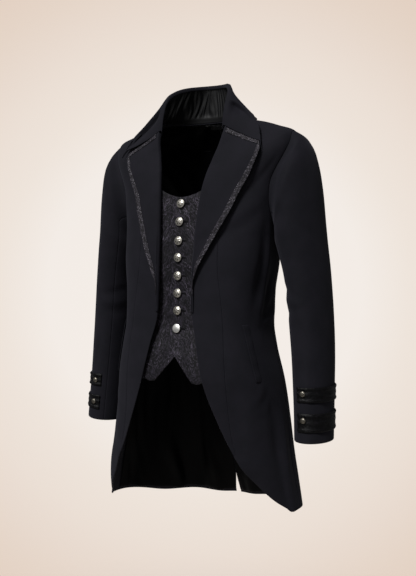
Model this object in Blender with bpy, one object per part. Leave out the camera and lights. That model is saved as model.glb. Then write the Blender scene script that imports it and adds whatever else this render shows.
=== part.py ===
"""Redingote: a man's cutaway tailcoat with a mock waistcoat front, hollow, as it hangs when it is worn.

Frame: metres, +Z up, the front faces -Y and the wearer's left is +X. The origin is the middle of the neck
opening, at the height where the shoulder seams meet the collar. Tables are in centimetres, as a cutter
writes them, and CM turns them to metres.

Every panel is a grid of points on one body surface. A place on it has two numbers: the level, which is the
distance up the cloth from the hem, and the angle, which is 0 at the wearer's side, -90 at the centre front
and +90 at the centre back. What lies on a panel is made from the same points, moved out.
"""

import math

import bmesh
import bpy
import numpy as np
from mathutils import Matrix, Vector

CM = 0.01
MM = 0.001

# Cloth and seams, in metres
COAT_WALL = 2.0 * MM
LINING_WALL = 1.2 * MM
LAPEL_WALL = 1.8 * MM
TRIM_WALL = 1.0 * MM
WAISTCOAT_WALL = 1.8 * MM
STAND_WALL = 2.2 * MM
FALL_WALL = 2.2 * MM
STRAP_WALL = 1.6 * MM
WELT_WALL = 1.8 * MM
LABEL_WALL = 1.0 * MM
SEAM_GAP = 0.3 * MM
LAYER_GAP = 0.5 * MM

# Levels of the landmarks, in centimetres up the cloth from the hem
HEM_LEVEL = 0.0
BREAK_LEVEL = 43.0
ARMPIT_LEVEL = 59.2
SHOULDER_LEVEL = 79.6
NECK_LEVEL = 93.4

# The body surface, a row for each level, in centimetres. The heights are those of the ring's side, front and
# back, y_wide is where the ring is widest, and the last two columns say how square its front and back are,
# with 2 for an ellipse.
BODY_COLUMNS = (
    "level", "z_side", "z_front", "z_back", "half_width",
    "y_wide", "y_front", "y_back", "square_front", "square_back",
)
BODY_ROWS = (
    (0.0, -82.7, -82.7, -84.8, 23.4, -2.2, -7.0, 16.8, 1.95, 1.65),
    (6.5, -76.6, -76.6, -77.7, 22.4, -2.1, -11.8, 14.8, 1.95, 1.72),
    (12.0, -71.4, -71.5, -72.1, 21.4, -2.0, -14.2, 13.2, 1.92, 1.82),
    (20.5, -63.3, -63.3, -63.5, 20.1, -1.7, -14.3, 11.2, 2.10, 2.00),
    (29.0, -55.0, -55.0, -55.0, 18.6, -1.4, -14.2, 9.6, 2.6, 2.20),
    (36.0, -48.0, -48.0, -48.0, 16.9, -1.1, -13.4, 8.2, 3.2, 2.35),
    (40.5, -43.5, -43.5, -43.5, 16.2, -1.0, -12.7, 7.9, 3.4, 2.45),
    (47.0, -37.0, -37.0, -37.0, 16.3, -0.8, -12.3, 8.6, 3.4, 2.50),
    (54.0, -30.1, -30.1, -30.0, 17.2, -0.6, -11.9, 9.6, 3.2, 2.50),
    (59.2, -24.8, -25.0, -24.6, 17.6, -0.5, -11.4, 10.4, 2.9, 2.45),
    (69.4, -14.7, -16.3, -14.8, 19.2, -0.4, -10.1, 10.6, 2.5, 2.40),
    (79.6, -4.2, -11.5, -5.5, 21.4, -0.2, -8.4, 9.3, 2.4, 2.20),
    (83.5, -2.0, -10.2, -3.6, 18.2, -0.4, -8.0, 8.4, 2.3, 2.15),
    (87.3, -1.0, -9.0, -1.9, 14.6, -0.8, -7.7, 7.3, 2.2, 2.10),
    (93.4, -0.2, -7.5, 0.5, 8.6, -2.5, -8.0, 5.4, 2.2, 2.10),
)

# The skirt hangs a little to the wearer's right and lower there: how far it sways at the hem, how much it drops
# for each unit across, and the heights between which this grows, in metres
SWAY = 0.8 * CM
LEAN = 0.055
LEAN_TOP = -0.55
LEAN_BOTTOM = -0.82

# Soft flutes of the skirt: the angle of each, its half width in degrees, how far it stands out at the hem and
# the level where it dies away
FLUTE_COLUMNS = ("angle", "spread", "out", "top_level")
FLUTE_ROWS = (
    (-30.0, 9.0, 0.5, 30.0),
    (-8.0, 10.0, -0.6, 34.0),
    (16.0, 11.0, 0.9, 36.0),
    (40.0, 10.0, -0.9, 34.0),
    (63.0, 9.0, 0.8, 38.0),
    (80.0, 7.0, -0.4, 30.0),
)

# How far from the centre each edge or seam of the front lies, in centimetres, by level
FRONT_EDGE_ROWS = (
    (0.0, 23.0), (0.8, 22.3), (2.0, 21.1), (5.0, 18.8), (11.2, 14.9), (20.6, 10.6), (29.0, 7.4), (36.4, 5.6), (43.0, 4.2),
    (50.0, 4.3), (56.8, 4.45), (69.4, 5.3), (79.6, 6.3), (86.6, 7.2), (90.0, 7.8), (93.4, 8.3),
)
PRINCESS_SEAM_ROWS = (
    (12.0, 14.9), (13.6, 14.2), (19.0, 13.0), (32.5, 11.8), (44.0, 10.7), (53.5, 9.6), (66.0, 9.4), (79.6, 10.7),
    (83.5, 11.8), (87.3, 11.8), (90.4, 10.5), (93.4, 8.59),
)
LAPEL_EDGE_ROWS = (
    (43.0, 5.0), (48.0, 5.4), (52.0, 6.3), (56.0, 7.6), (60.1, 9.1), (64.2, 10.8), (67.8, 12.0),
    (74.1, 14.4), (81.5, 16.5), (93.4, 18.0),
)
LAPEL_CORNER_LEVEL = 81.5
LAPEL_GORGE_LEVEL = 92.4

# Armhole: how far it reaches to the front and back of the side seam, in degrees
SIDE_SEAM_ANGLE = 8.0
ARMHOLE_FRONT_ANGLE = 30.0
ARMHOLE_BACK_ANGLE = 36.0
NECK_POINT_ANGLE = 18.0
SLEEVE_COLUMNS = 20

# The centre-back vent parts over this length above the hem, by this much at the hem
VENT_LEVEL = 5.0
VENT_WIDTH = 1.2
VENT_CURVE = 6

# Levels of the panels' rows below the armhole and above it
SKIRT_LEVELS = (0.0, 1.6, 3.6, 6.4, 9.6, 13.6, 18.2, 23.2, 28.4, 33.6, 38.4, 43.0, 48.2, 53.8)
YOKE_LEVELS = (83.5, 87.3, 90.4, 92.4, 93.4)
FRONT_TIP_LEVEL = 13.6
LINING_LEVEL = 1.6

# Lines of points across each body panel, and the depth of the folds in the lining
FRONT_COLUMNS = 6
SIDE_FRONT_COLUMNS = 10
BACK_COLUMNS = 11
LINING_FOLD = 4.5 * MM
LINING_INSET = 2.0 * MM

# The lapel's roll over the front edge: along the front from the roll line, out from it, and which way the
# cloth faces there, 180 back, 90 towards the centre and 0 out. Millimetres and degrees.
ROLL_COLUMNS = ("along", "out", "facing")
ROLL_ROWS = (
    (7.0, -4.4, 180.0),
    (-0.6, -4.4, 170.0),
    (-3.0, -0.8, 95.0),
    (-2.2, 3.4, 50.0),
    (1.6, 5.7, 12.0),
)
LAPEL_CROWN = 6.2 * MM
LAPEL_REST = 4.2 * MM
LAPEL_CROSS_COLUMNS = 7
TRIM_WIDTH = 1.35
TRIM_SHARE = 0.55

# Collar, a row for each place round the neck seam: the angle there, where the roll line is, and where on the
# body the fall's edge rests
COLLAR_COLUMNS = (
    "angle", "roll_x", "roll_y", "roll_z", "edge_level", "edge_angle", "edge_lift", "hollow_out", "hollow_down",
)
COLLAR_ROWS = (
    (-17.5, 8.35, -4.5, -0.9, 81.5, -38.0, 0.50, 0.62, 0.62),
    (-12.0, 8.25, -4.3, 1.6, 85.0, -27.0, 0.50, 0.80, 0.48),
    (-4.0, 8.0, -3.6, 4.6, 87.2, -13.0, 0.55, 0.80, 0.44),
    (8.0, 7.0, -1.9, 6.6, 88.4, 6.0, 0.60, 0.40, 0.70),
    (25.0, 5.3, 0.5, 7.7, 88.6, 28.0, 0.65, 0.40, 0.72),
    (45.0, 3.8, 2.7, 8.2, 88.8, 49.0, 0.70, 0.36, 0.74),
    (66.0, 2.1, 4.4, 8.5, 88.9, 69.0, 0.75, 0.32, 0.76),
    (90.0, 0.0, 5.1, 8.6, 89.0, 90.0, 0.75, 0.30, 0.76),
)
COLLAR_STATIONS = 27
COLLAR_CENTRE_Y = -3.0 * CM
STAND_ROWS_UP = 6
STAND_SEAM_LIFT = 0.5 * MM
STAND_TOP_DROP = 3.2 * MM
STAND_GATHER_DEPTH = 0.9 * MM
STAND_GATHERED_HEIGHT = 5.0 * CM
FALL_CLEARANCE = 1.4 * MM
FALL_FRONT_ENDS = 4.0
GORGE_GAP = 2.0 * MM

# The collar's turned edge, from inside the stand up over the roll line, in millimetres
TURN_COLUMNS = ("walls", "inward", "up")
TURN_ROWS = ((1.0, 0.6, -7.0), (1.0, 0.2, -1.5), (0.0, 0.5, 1.4))

# Waistcoat: how far it lies inside the coat's surface, by level, and its edges by distance from the centre
WAISTCOAT_DEPTH_ROWS = ((26.0, 0.9), (34.0, 1.1), (41.0, 1.45), (55.0, 0.95), (66.0, 0.75), (78.0, 0.75))
WAISTCOAT_EDGE_COLUMNS = ("across", "bottom", "top")
WAISTCOAT_EDGE_ROWS = (
    (-1.6, 35.9, 68.5), (0.0, 34.1, 68.4), (1.6, 32.2, 68.7), (3.1, 30.5, 69.3), (4.7, 28.6, 70.3),
    (6.0, 28.5, 71.3), (7.3, 28.8, 72.3),
)
WAISTCOAT_SIDE_BOTTOM = 27.6
WAISTCOAT_SIDE_TOP = 74.4
WAISTCOAT_OVERLAP = 1.6

# Distances from the centre: the waistcoat is sewn in from the first on, lies free inside the second,
# and one front goes over the other inside the third
WAISTCOAT_SEWN_ACROSS = 11.0
WAISTCOAT_FREE_ACROSS = 7.0
WAISTCOAT_LAP_ACROSS = 5.0

# Buttons: the section of half a button from the cloth out, radius and height in millimetres
BUTTON_SECTION = ((0.0, 0.0), (2.2, 0.0), (2.2, 1.7), (9.2, 2.2), (8.9, 3.9), (5.6, 5.6), (0.0, 6.3))
BUTTON_SEGMENTS = 10
CUFF_BUTTON_SCALE = 0.8
CUFF_BUTTON_SEAT = 0.6 * MM

# The waistcoat's buttons: the height of each in centimetres and its seat off the cloth in millimetres
BUTTON_ROWS = (
    (-18.4, 0.5), (-22.2, 0.5), (-26.2, 0.5), (-29.7, 0.5), (-33.5, 0.5), (-37.1, 0.7), (-40.7, 0.7), (-44.3, 1.1),
)

# Sleeve, a row for each ring down the arm: the height of its middle, how far its outer side is above that,
# its middle and its half sizes, in centimetres
SLEEVE_RING_COLUMNS = ("z_mid", "rise", "x_mid", "half_x", "y_mid", "half_y")
SLEEVE_RING_ROWS = (
    (-15.00, 10.25, 20.65, 2.70, 0.60, 6.90),
    (-16.45, 9.05, 21.45, 3.50, 0.60, 7.40),
    (-19.20, 6.95, 21.95, 4.15, 0.80, 7.40),
    (-22.85, 4.35, 22.30, 4.50, 0.85, 7.40),
    (-27.60, 2.20, 23.00, 4.45, 0.95, 7.05),
    (-33.00, 0.80, 23.85, 4.35, 1.10, 6.70),
    (-38.50, 0.20, 24.45, 4.30, 1.10, 6.40),
    (-44.00, 0.00, 24.90, 4.25, 1.00, 6.15),
    (-50.00, 0.00, 25.35, 4.10, 0.70, 5.90),
    (-55.40, 0.00, 25.65, 3.95, 0.25, 5.65),
    (-61.00, 0.00, 25.95, 3.80, -0.30, 5.45),
    (-66.50, 0.00, 26.20, 3.70, -0.90, 5.25),
)
SLEEVE_FRONT_SEAM = 126.0
SLEEVE_BACK_SEAM = 270.0
SLEEVE_HEAD_GAP = 0.7 * MM

# Cuff straps: from this angle at the front round the outer side to this one at the back, and their heights
STRAP_FRONT_ANGLE = 108.0
STRAP_BACK_ANGLE = -90.0
STRAPS = {"upper": (-58.9, -55.7), "lower": (-64.6, -60.6)}
STRAP_BUTTON_ANGLE = 84.0

# Pocket welt: its two ends and its width, in centimetres, as distance from the centre and level
WELT_TOP = (14.3, 40.6)
WELT_BOTTOM = (16.9, 29.2)
WELT_WIDTH = 1.5
WELT_CLEARANCE = 0.9 * MM
WELT_COLUMNS = 3
WELT_ROWS = 7

# Bare label and hanger loop at the back neck, as half width and levels, in centimetres
LABEL_HALF_WIDTH = 1.9
LABEL_LEVELS = (90.2, 91.9)
LOOP_HALF_WIDTH = 3.0
LOOP_LEVELS = (92.3, 92.8)
LOOP_WALL = 1.4 * MM
NECK_CLEARANCE = 1.0 * MM

# Finishes: sRGB colour, roughness and metallic value
FINISHES = {
    "coat_twill": ((0.105, 0.105, 0.125), 0.80, 0.0),
    "satin": ((0.070, 0.070, 0.085), 0.38, 0.0),
    "brocade": ((0.190, 0.175, 0.195), 0.55, 0.0),
    "antique_silver": ((0.620, 0.600, 0.560), 0.32, 1.0),
    "label_tape": ((0.110, 0.110, 0.120), 0.60, 0.0),
}

UP = np.array([0.0, 0.0, 1.0])
LEFT, RIGHT = 1.0, -1.0
SIDE_NAMES = {LEFT: "left", RIGHT: "right"}


def smooth(xs, ys, at):
    """A smooth curve through the rows, read at the values, that never swings past a row."""
    xs, ys, at = np.asarray(xs, float), np.asarray(ys, float), np.asarray(at, float)
    step = np.diff(xs)
    slope = np.diff(ys) / step
    inner = np.zeros(len(xs) - 2)
    same = slope[:-1] * slope[1:] > 0
    weight_a = 2 * step[1:] + step[:-1]
    weight_b = step[1:] + 2 * step[:-1]
    inner[same] = ((weight_a + weight_b)[same]
                   / (weight_a[same] / slope[:-1][same] + weight_b[same] / slope[1:][same]))
    tangent = np.concatenate([slope[:1], inner, slope[-1:]])
    at = np.clip(at, xs[0], xs[-1])
    k = np.clip(np.searchsorted(xs, at, side="right") - 1, 0, len(xs) - 2)
    t = (at - xs[k]) / step[k]
    return ((1 + 2 * t) * (1 - t) ** 2 * ys[k] + t * (1 - t) ** 2 * step[k] * tangent[k]
            + t ** 2 * (3 - 2 * t) * ys[k + 1] + t ** 2 * (t - 1) * step[k] * tangent[k + 1])


def column(rows, names, name):
    """One named column of a table."""
    return [row[names.index(name)] for row in rows]


def read(rows, names, key, name, at):
    """A named column read at values of the key column."""
    return smooth(column(rows, names, key), column(rows, names, name), at)


def ease(value):
    """0 below 0, 1 above 1, and a soft rise between."""
    value = np.clip(value, 0.0, 1.0)
    return value * value * (3 - 2 * value)


def unit(vectors):
    """Vectors of length 1."""
    return vectors / np.linalg.norm(vectors, axis=-1, keepdims=True)


def body_ring(level, name):
    """A column of the body table, read at the levels."""
    return read(BODY_ROWS, BODY_COLUMNS, "level", name, level)


def flutes(level, angle):
    """How far the skirt's soft flutes stand out, in centimetres."""
    out = np.zeros_like(level)
    for middle, spread, height, top in FLUTE_ROWS:
        swell = np.exp(-((angle - middle) / spread) ** 2)
        out = out + height * swell * ease(1 - level / top)
    return out


def bare_body(level, angle):
    """Points of the body surface without its flutes, in centimetres."""
    turn = np.radians(angle)
    front = angle < 0
    square = np.where(front, body_ring(level, "square_front"), body_ring(level, "square_back"))
    y_wide = body_ring(level, "y_wide")
    depth = np.where(front, y_wide - body_ring(level, "y_front"), body_ring(level, "y_back") - y_wide)
    reach = (np.abs(np.cos(turn)) ** square + np.abs(np.sin(turn)) ** square) ** (-1 / square)
    x = body_ring(level, "half_width") * reach * np.cos(turn)
    y = y_wide + depth * reach * np.sin(turn)
    end_z = np.where(front, body_ring(level, "z_front"), body_ring(level, "z_back"))
    share = np.sin(turn) ** 2
    z = body_ring(level, "z_side") * (1 - share) + end_z * share
    return np.stack([x, y, z], axis=-1)


def body_directions(level, angle):
    """Unit vectors at each place: along the ring towards the back, and out from the cloth."""
    d_angle, d_level = 0.4, 0.2
    back = bare_body(level, angle + d_angle) - bare_body(level, angle - d_angle)
    up = bare_body(level + d_level, angle) - bare_body(level - d_level, angle)
    back, up = unit(back), unit(up)
    out = unit(np.cross(back, up))
    return back, out


def body(level, angle, lift=0.0):
    """Points on the left half of the body, in metres, moved out by lift metres."""
    level, angle, lift = np.broadcast_arrays(
        np.asarray(level, float), np.asarray(angle, float), np.asarray(lift, float)
    )
    back, out = body_directions(level, angle)
    points = bare_body(level, angle) + out * flutes(level, angle)[..., None]
    return points * CM + out * lift[..., None]


def angle_at(level, across):
    """The angle on the front where the body is this many centimetres from the centre."""
    square = body_ring(level, "square_front")
    share = np.clip(np.asarray(across, float) / body_ring(level, "half_width"), 0.001, 0.9999)
    return -np.degrees(np.arctan((share ** -square - 1) ** (1 / square)))


def line_angle(rows, level):
    """The angle of an edge or seam of the front, given by its distance from the centre."""
    across = smooth([row[0] for row in rows], [row[1] for row in rows], level)
    return angle_at(level, across)


def front_edge(level):
    """The angle of the cutaway edge and, above the break, of the roll line."""
    return line_angle(FRONT_EDGE_ROWS, level)


def princess_seam(level):
    """The angle of the princess seam."""
    return line_angle(PRINCESS_SEAM_ROWS, level)


def armhole_levels():
    """Levels of the armhole's points, from the armpit up, one for each line of points along the sleeve."""
    turns = np.linspace(math.pi, 0.0, SLEEVE_COLUMNS // 2 + 1)
    middle = (SHOULDER_LEVEL + ARMPIT_LEVEL) / 2
    return middle + (SHOULDER_LEVEL - ARMPIT_LEVEL) / 2 * np.cos(turns)


def armhole_angle(level, reach):
    """The angle of the armhole at the levels; reach is how far it swings, in degrees, less than 0 in front."""
    middle = (SHOULDER_LEVEL + ARMPIT_LEVEL) / 2
    rise = np.clip((level - middle) / (SHOULDER_LEVEL - middle), -1, 1)
    return SIDE_SEAM_ANGLE / 2 * (1 - rise) + reach * np.sqrt(1 - rise ** 2)


def side_limit(level, reach):
    """Where a body panel ends at the side: the side seam, then the armhole, then the shoulder seam."""
    shoulder = NECK_POINT_ANGLE * (level - SHOULDER_LEVEL) / (NECK_LEVEL - SHOULDER_LEVEL)
    angle = np.where(level < ARMPIT_LEVEL, SIDE_SEAM_ANGLE, armhole_angle(level, reach))
    return np.where(level > SHOULDER_LEVEL, shoulder, angle)


def panel_levels(lowest=HEM_LEVEL):
    """Levels of a body panel's rows."""
    levels = np.concatenate([SKIRT_LEVELS, armhole_levels(), YOKE_LEVELS])
    return levels[levels >= lowest]


def spread(start, end, count):
    """Angles between two edges, a row for each level."""
    share = np.linspace(0, 1, count)
    return start[:, None] * (1 - share) + end[:, None] * share


def side_panel_places(kind, levels, count):
    """Level and angle of each point of a body panel of one kind."""
    if kind == "front":
        edges = front_edge(levels), princess_seam(levels)
    elif kind == "side_front":
        seam = np.where(levels < FRONT_TIP_LEVEL - 0.01, front_edge(levels), princess_seam(levels))
        edges = seam, side_limit(levels, -ARMHOLE_FRONT_ANGLE)
    else:
        edges = side_limit(levels, ARMHOLE_BACK_ANGLE), np.full_like(levels, 90.0)
    angles = spread(*edges, count)
    return np.repeat(levels[:, None], count, axis=1), angles


def grid_normals(points):
    """The way out from the cloth at each point of a grid that runs up and towards the back."""
    up = np.gradient(points, axis=0)
    along = np.gradient(points, axis=1)
    return unit(np.cross(along, up))


def inset_sides(points, by=SEAM_GAP / 2):
    """Moves the first and last line of points in from a seam."""
    points = points.copy()
    points[:, 0] += unit(points[:, 1] - points[:, 0]) * by
    points[:, -1] += unit(points[:, -2] - points[:, -1]) * by
    return points


def mirrored(points, side):
    """The points on the side asked for."""
    return points * np.array([side, 1.0, 1.0])


def to_linear(value):
    """An sRGB value turned to linear light."""
    return value / 12.92 if value <= 0.04045 else ((value + 0.055) / 1.055) ** 2.4


def dress(thing, finish):
    """Gives an object a Principled material of its own."""
    colour, roughness, metallic = FINISHES[finish]
    material = bpy.data.materials.new(f"{thing.name}_{finish}")
    material.use_nodes = True
    shader = material.node_tree.nodes["Principled BSDF"]
    shader.inputs["Base Color"].default_value = [to_linear(c) for c in colour] + [1.0]
    shader.inputs["Roughness"].default_value = roughness
    shader.inputs["Metallic"].default_value = metallic
    thing.data.materials.append(material)


def keep(name, shape, finish):
    """Turns a bmesh into an object of the scene."""
    mesh = bpy.data.meshes.new(name)
    shape.to_mesh(mesh)
    shape.free()
    mesh.shade_smooth()
    mesh.set_sharp_from_angle(angle=math.radians(40))
    thing = bpy.data.objects.new(name, mesh)
    bpy.context.scene.collection.objects.link(thing)
    dress(thing, finish)
    return thing


def cloth(name, points, normals, finish, wall, cells=None):
    """A cloth piece: a grid of points on its outer face, given a wall against the normals.

    cells says which squares of the grid are cloth, where it isn't all of them.
    """
    rows, columns = points.shape[:2]
    cells = np.ones((rows - 1, columns - 1), bool) if cells is None else cells
    inner = points - normals * wall
    shape = bmesh.new()
    verts = {}

    def corner(layer, i, j):
        if (layer, i, j) not in verts:
            verts[layer, i, j] = shape.verts.new((points, inner)[layer][i, j])
        return verts[layer, i, j]

    for i, j in np.argwhere(cells):
        a, b, c, d = (i, j), (i, j + 1), (i + 1, j + 1), (i + 1, j)
        for loop in ((a, b, c), (a, c, d)):
            shape.faces.new([corner(0, *place) for place in loop])
            shape.faces.new([corner(1, *place) for place in loop[::-1]])
        beside = ((a, b, i - 1, j), (b, c, i, j + 1), (c, d, i + 1, j), (d, a, i, j - 1))
        for start, end, next_i, next_j in beside:
            inside = 0 <= next_i < rows - 1 and 0 <= next_j < columns - 1
            if not (inside and cells[next_i, next_j]):
                rim = corner(0, *end), corner(0, *start), corner(1, *start), corner(1, *end)
                shape.faces.new(rim)
    shape.normal_update()
    shape.faces.ensure_lookup_table()
    i, j = np.argwhere(cells)[0]
    if shape.faces[0].normal.dot(Vector(normals[i, j])) < 0:
        bmesh.ops.reverse_faces(shape, faces=shape.faces)
    return keep(name, shape, finish)


def leaning(points, side):
    """The points on the side asked for, with the sway and the lean of the skirt."""
    points = mirrored(points, side)
    share = ease((LEAN_TOP - points[..., 2]) / (LEAN_TOP - LEAN_BOTTOM))
    points[..., 2] += LEAN * points[..., 0] * share
    points[..., 0] -= SWAY * share
    return points


def body_cloth(name, levels, angles, lift, side, finish, wall, inset=True):
    """A cloth piece that follows the body surface."""
    points = body(levels, angles, lift)
    if inset:
        points = inset_sides(points)
    normals = body_directions(levels, angles)[1]
    return cloth(name, leaning(points, side), mirrored(normals, side), finish, wall)


def make_coat_panels(side):
    """Front, side front and back of one side."""
    word = SIDE_NAMES[side]
    levels = panel_levels(FRONT_TIP_LEVEL)
    places = side_panel_places("front", levels, FRONT_COLUMNS)
    body_cloth(f"front_{word}", *places, 0.0, side, "coat_twill", COAT_WALL)
    levels = panel_levels()
    places = side_panel_places("side_front", levels, SIDE_FRONT_COLUMNS)
    body_cloth(f"side_front_{word}", *places, 0.0, side, "coat_twill", COAT_WALL)
    make_back(side, levels)


def back_points(levels):
    """Points and normals of the back, which parts at the centre below the top of the vent."""
    places = side_panel_places("back", levels, BACK_COLUMNS)
    points = inset_sides(body(*places))
    parting = VENT_WIDTH / 2 * CM * ease(1 - levels / VENT_LEVEL)
    from_centre = np.linspace(0, 1, points.shape[1]) ** VENT_CURVE
    points[..., 0] += parting[:, None] * from_centre
    return points, body_directions(*places)[1]


def make_back(side, levels):
    """The back panel and the lining inside it, which hangs in folds in the skirt."""
    word = SIDE_NAMES[side]
    points, normals = back_points(levels)
    cloth(f"back_{word}", leaning(points, side), mirrored(normals, side), "coat_twill", COAT_WALL)
    folds = np.arange(BACK_COLUMNS) % 2
    hang = ease(1 - levels / BREAK_LEVEL)[:, None] * folds * LINING_FOLD
    lining = points - normals * (COAT_WALL + LAYER_GAP + hang)[..., None]
    inside = levels >= LINING_LEVEL
    lining, normals = inset_sides(lining[inside], LINING_INSET), normals[inside]
    name = f"back_lining_{word}"
    cloth(name, leaning(lining, side), mirrored(normals, side), "satin", LINING_WALL)


def lapel_places():
    """Level and angle of each point of the lapel outside the roll, its trim's lines included."""
    panel = panel_levels(BREAK_LEVEL)
    up = (panel[panel < LAPEL_GORGE_LEVEL] - BREAK_LEVEL) / (LAPEL_GORGE_LEVEL - BREAK_LEVEL)
    share = np.linspace(0, 1, LAPEL_CROSS_COLUMNS)
    gorge = LAPEL_GORGE_LEVEL + (LAPEL_CORNER_LEVEL - LAPEL_GORGE_LEVEL) * share
    reach = gorge - BREAK_LEVEL
    trimmed = 1 - TRIM_WIDTH / reach
    stretch = np.where(share > 0, trimmed / up[-1], 1.0)
    rows = [BREAK_LEVEL + reach * v * stretch for v in up]
    levels = np.array(rows + [gorge])
    roll = smooth([row[0] for row in FRONT_EDGE_ROWS], [row[1] for row in FRONT_EDGE_ROWS], levels)
    outer = smooth([row[0] for row in LAPEL_EDGE_ROWS], [row[1] for row in LAPEL_EDGE_ROWS], levels)
    trim = np.minimum(TRIM_WIDTH, (outer - roll) * TRIM_SHARE)
    across = roll + (outer - trim - roll) * (share / share[-2])
    across[:, -1] = outer[:, -1]
    return levels, angle_at(levels, across), share


def lapel_lift(share):
    """How far the lapel's outer face is off the front, from its crown by the roll to its outer edge."""
    return LAPEL_REST + (LAPEL_CROWN - LAPEL_REST) * (1 - share) ** 2


def lapel_points():
    """The lapel's outer face: the roll over the front edge, then the part that lies on the front."""
    levels, angles, share = lapel_places()
    flat = body(levels[:, 1:], angles[:, 1:], lapel_lift(share[1:]))
    flat_out = body_directions(levels[:, 1:], angles[:, 1:])[1]
    roll_level = levels[:, 0]
    edge = body(roll_level, front_edge(roll_level))
    along, out = body_directions(roll_level, front_edge(roll_level))
    rolled, rolled_out = [], []
    for s, d, facing in ROLL_ROWS:
        turn = math.radians(facing)
        rolled.append(edge + along * s * MM + out * d * MM)
        rolled_out.append(out * math.cos(turn) - along * math.sin(turn))
    points = np.concatenate([np.stack(rolled, axis=1), flat], axis=1)
    return points, np.concatenate([np.stack(rolled_out, axis=1), flat_out], axis=1)


def make_lapel(side):
    """The lapel and the brocade trim along its gorge and outer edge."""
    word = SIDE_NAMES[side]
    points, normals = lapel_points()
    cloth(f"lapel_{word}", mirrored(points, side), mirrored(normals, side), "coat_twill", LAPEL_WALL)
    levels, angles, share = lapel_places()
    raised = body(levels, angles, lapel_lift(share) + TRIM_WALL + SEAM_GAP)
    normals = body_directions(levels, angles)[1]
    cells = np.zeros((raised.shape[0] - 1, raised.shape[1] - 1), bool)
    cells[:, -1] = True
    cells[-1, 1:] = True
    name = f"lapel_trim_{word}"
    cloth(name, mirrored(raised, side), mirrored(normals, side), "brocade", TRIM_WALL, cells)


def collar_line(name, angle):
    """A column of the collar table, read at the angles round the neck."""
    return read(COLLAR_ROWS, COLLAR_COLUMNS, "angle", name, angle)


def collar_stations():
    """Angles of the left half's places round the neck, from the front end to the centre back."""
    half = COLLAR_STATIONS // 2 + 1
    share = np.linspace(0, 1, half)
    first = COLLAR_ROWS[0][0]
    return first + (90.0 - first) * share


def roll_points(angle):
    """The collar's roll line, in metres."""
    names = ("roll_x", "roll_y", "roll_z")
    return np.stack([collar_line(name, angle) for name in names], axis=-1) * CM


def both_halves(left):
    """A grid or its normals, whose lines go round the neck from the left front end to the right one."""
    right = mirrored(left[:-1][::-1], RIGHT)
    return np.concatenate([left, right], axis=0)


def make_collar():
    """The gathered stand and the fall that turns over it."""
    angle = collar_stations()
    seam = body(np.full_like(angle, NECK_LEVEL), angle, STAND_SEAM_LIFT)
    roll = roll_points(angle)
    outward = unit(np.stack([seam[:, 0], seam[:, 1] - COLLAR_CENTRE_Y, np.zeros_like(angle)], axis=-1))
    top = roll - UP * STAND_TOP_DROP + outward * STAND_WALL / 2
    share = np.linspace(0, 1, STAND_ROWS_UP)
    bottom = seam + outward * STAND_WALL / 2
    stand = bottom[:, None] * (1 - share[:, None]) + top[:, None] * share[:, None]
    gather = np.cos(np.arange(len(angle)) * math.pi)[:, None] * np.sin(share * math.pi)[None] ** 0.5
    height = np.linalg.norm(top - bottom, axis=1)[:, None]
    depth = STAND_GATHER_DEPTH * ease(height / STAND_GATHERED_HEIGHT)
    stand = stand + outward[:, None] * (gather * depth)[..., None]
    grid = both_halves(stand)
    normals = both_halves(np.repeat(outward[:, None], STAND_ROWS_UP, axis=1))
    cloth("collar_stand", grid, normals, "satin", STAND_WALL)
    make_fall(angle, roll, outward)


def make_fall(angle, roll, outward):
    """The collar's fall, from its turn at the roll line to its edge on the shoulders."""
    lift = collar_line("edge_lift", angle) * CM
    edge = body(collar_line("edge_level", angle), collar_line("edge_angle", angle), lift)
    share = np.linspace(0, 1, LAPEL_CROSS_COLUMNS)[None, :, None]
    across = (edge - roll) * (1 - UP)
    down = (edge - roll) * UP
    clear = STAND_WALL / 2 + FALL_WALL
    start = roll + outward * (clear + FALL_CLEARANCE)
    hollow_out = collar_line("hollow_out", angle)[:, None]
    hollow_down = collar_line("hollow_down", angle)[:, None]
    bend = start + across * hollow_out + down * hollow_down
    free = (start[:, None] * (1 - share) ** 2 + 2 * bend[:, None] * share * (1 - share)
            + edge[:, None] * share ** 2)
    levels, angles, along = lapel_places()
    gorge_out = body_directions(levels[-1], angles[-1])[1]
    gorge = body(levels[-1], angles[-1], lapel_lift(along))
    gorge = gorge + unit(np.cross(gorge_out, np.gradient(gorge, axis=0))) * GORGE_GAP
    near = ease((FALL_FRONT_ENDS - angle) / (FALL_FRONT_ENDS - angle[0]))[:, None, None]
    free = free + (gorge - free[0])[None] * near
    turned = np.stack(
        [roll - outward * (walls * clear + inward * MM) + UP * up * MM for walls, inward, up in TURN_ROWS],
        axis=1,
    )
    fall = np.concatenate([turned + (free[:, :1] - start[:, None]), free], axis=1)
    normals = grid_normals(fall)
    flat = len(TURN_ROWS)
    near = near ** 3
    normals[:, flat:] = unit(normals[:, flat:] * (1 - near) + gorge_out[None] * near)
    cloth("collar_fall", both_halves(fall), both_halves(normals), "coat_twill", FALL_WALL)


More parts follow.
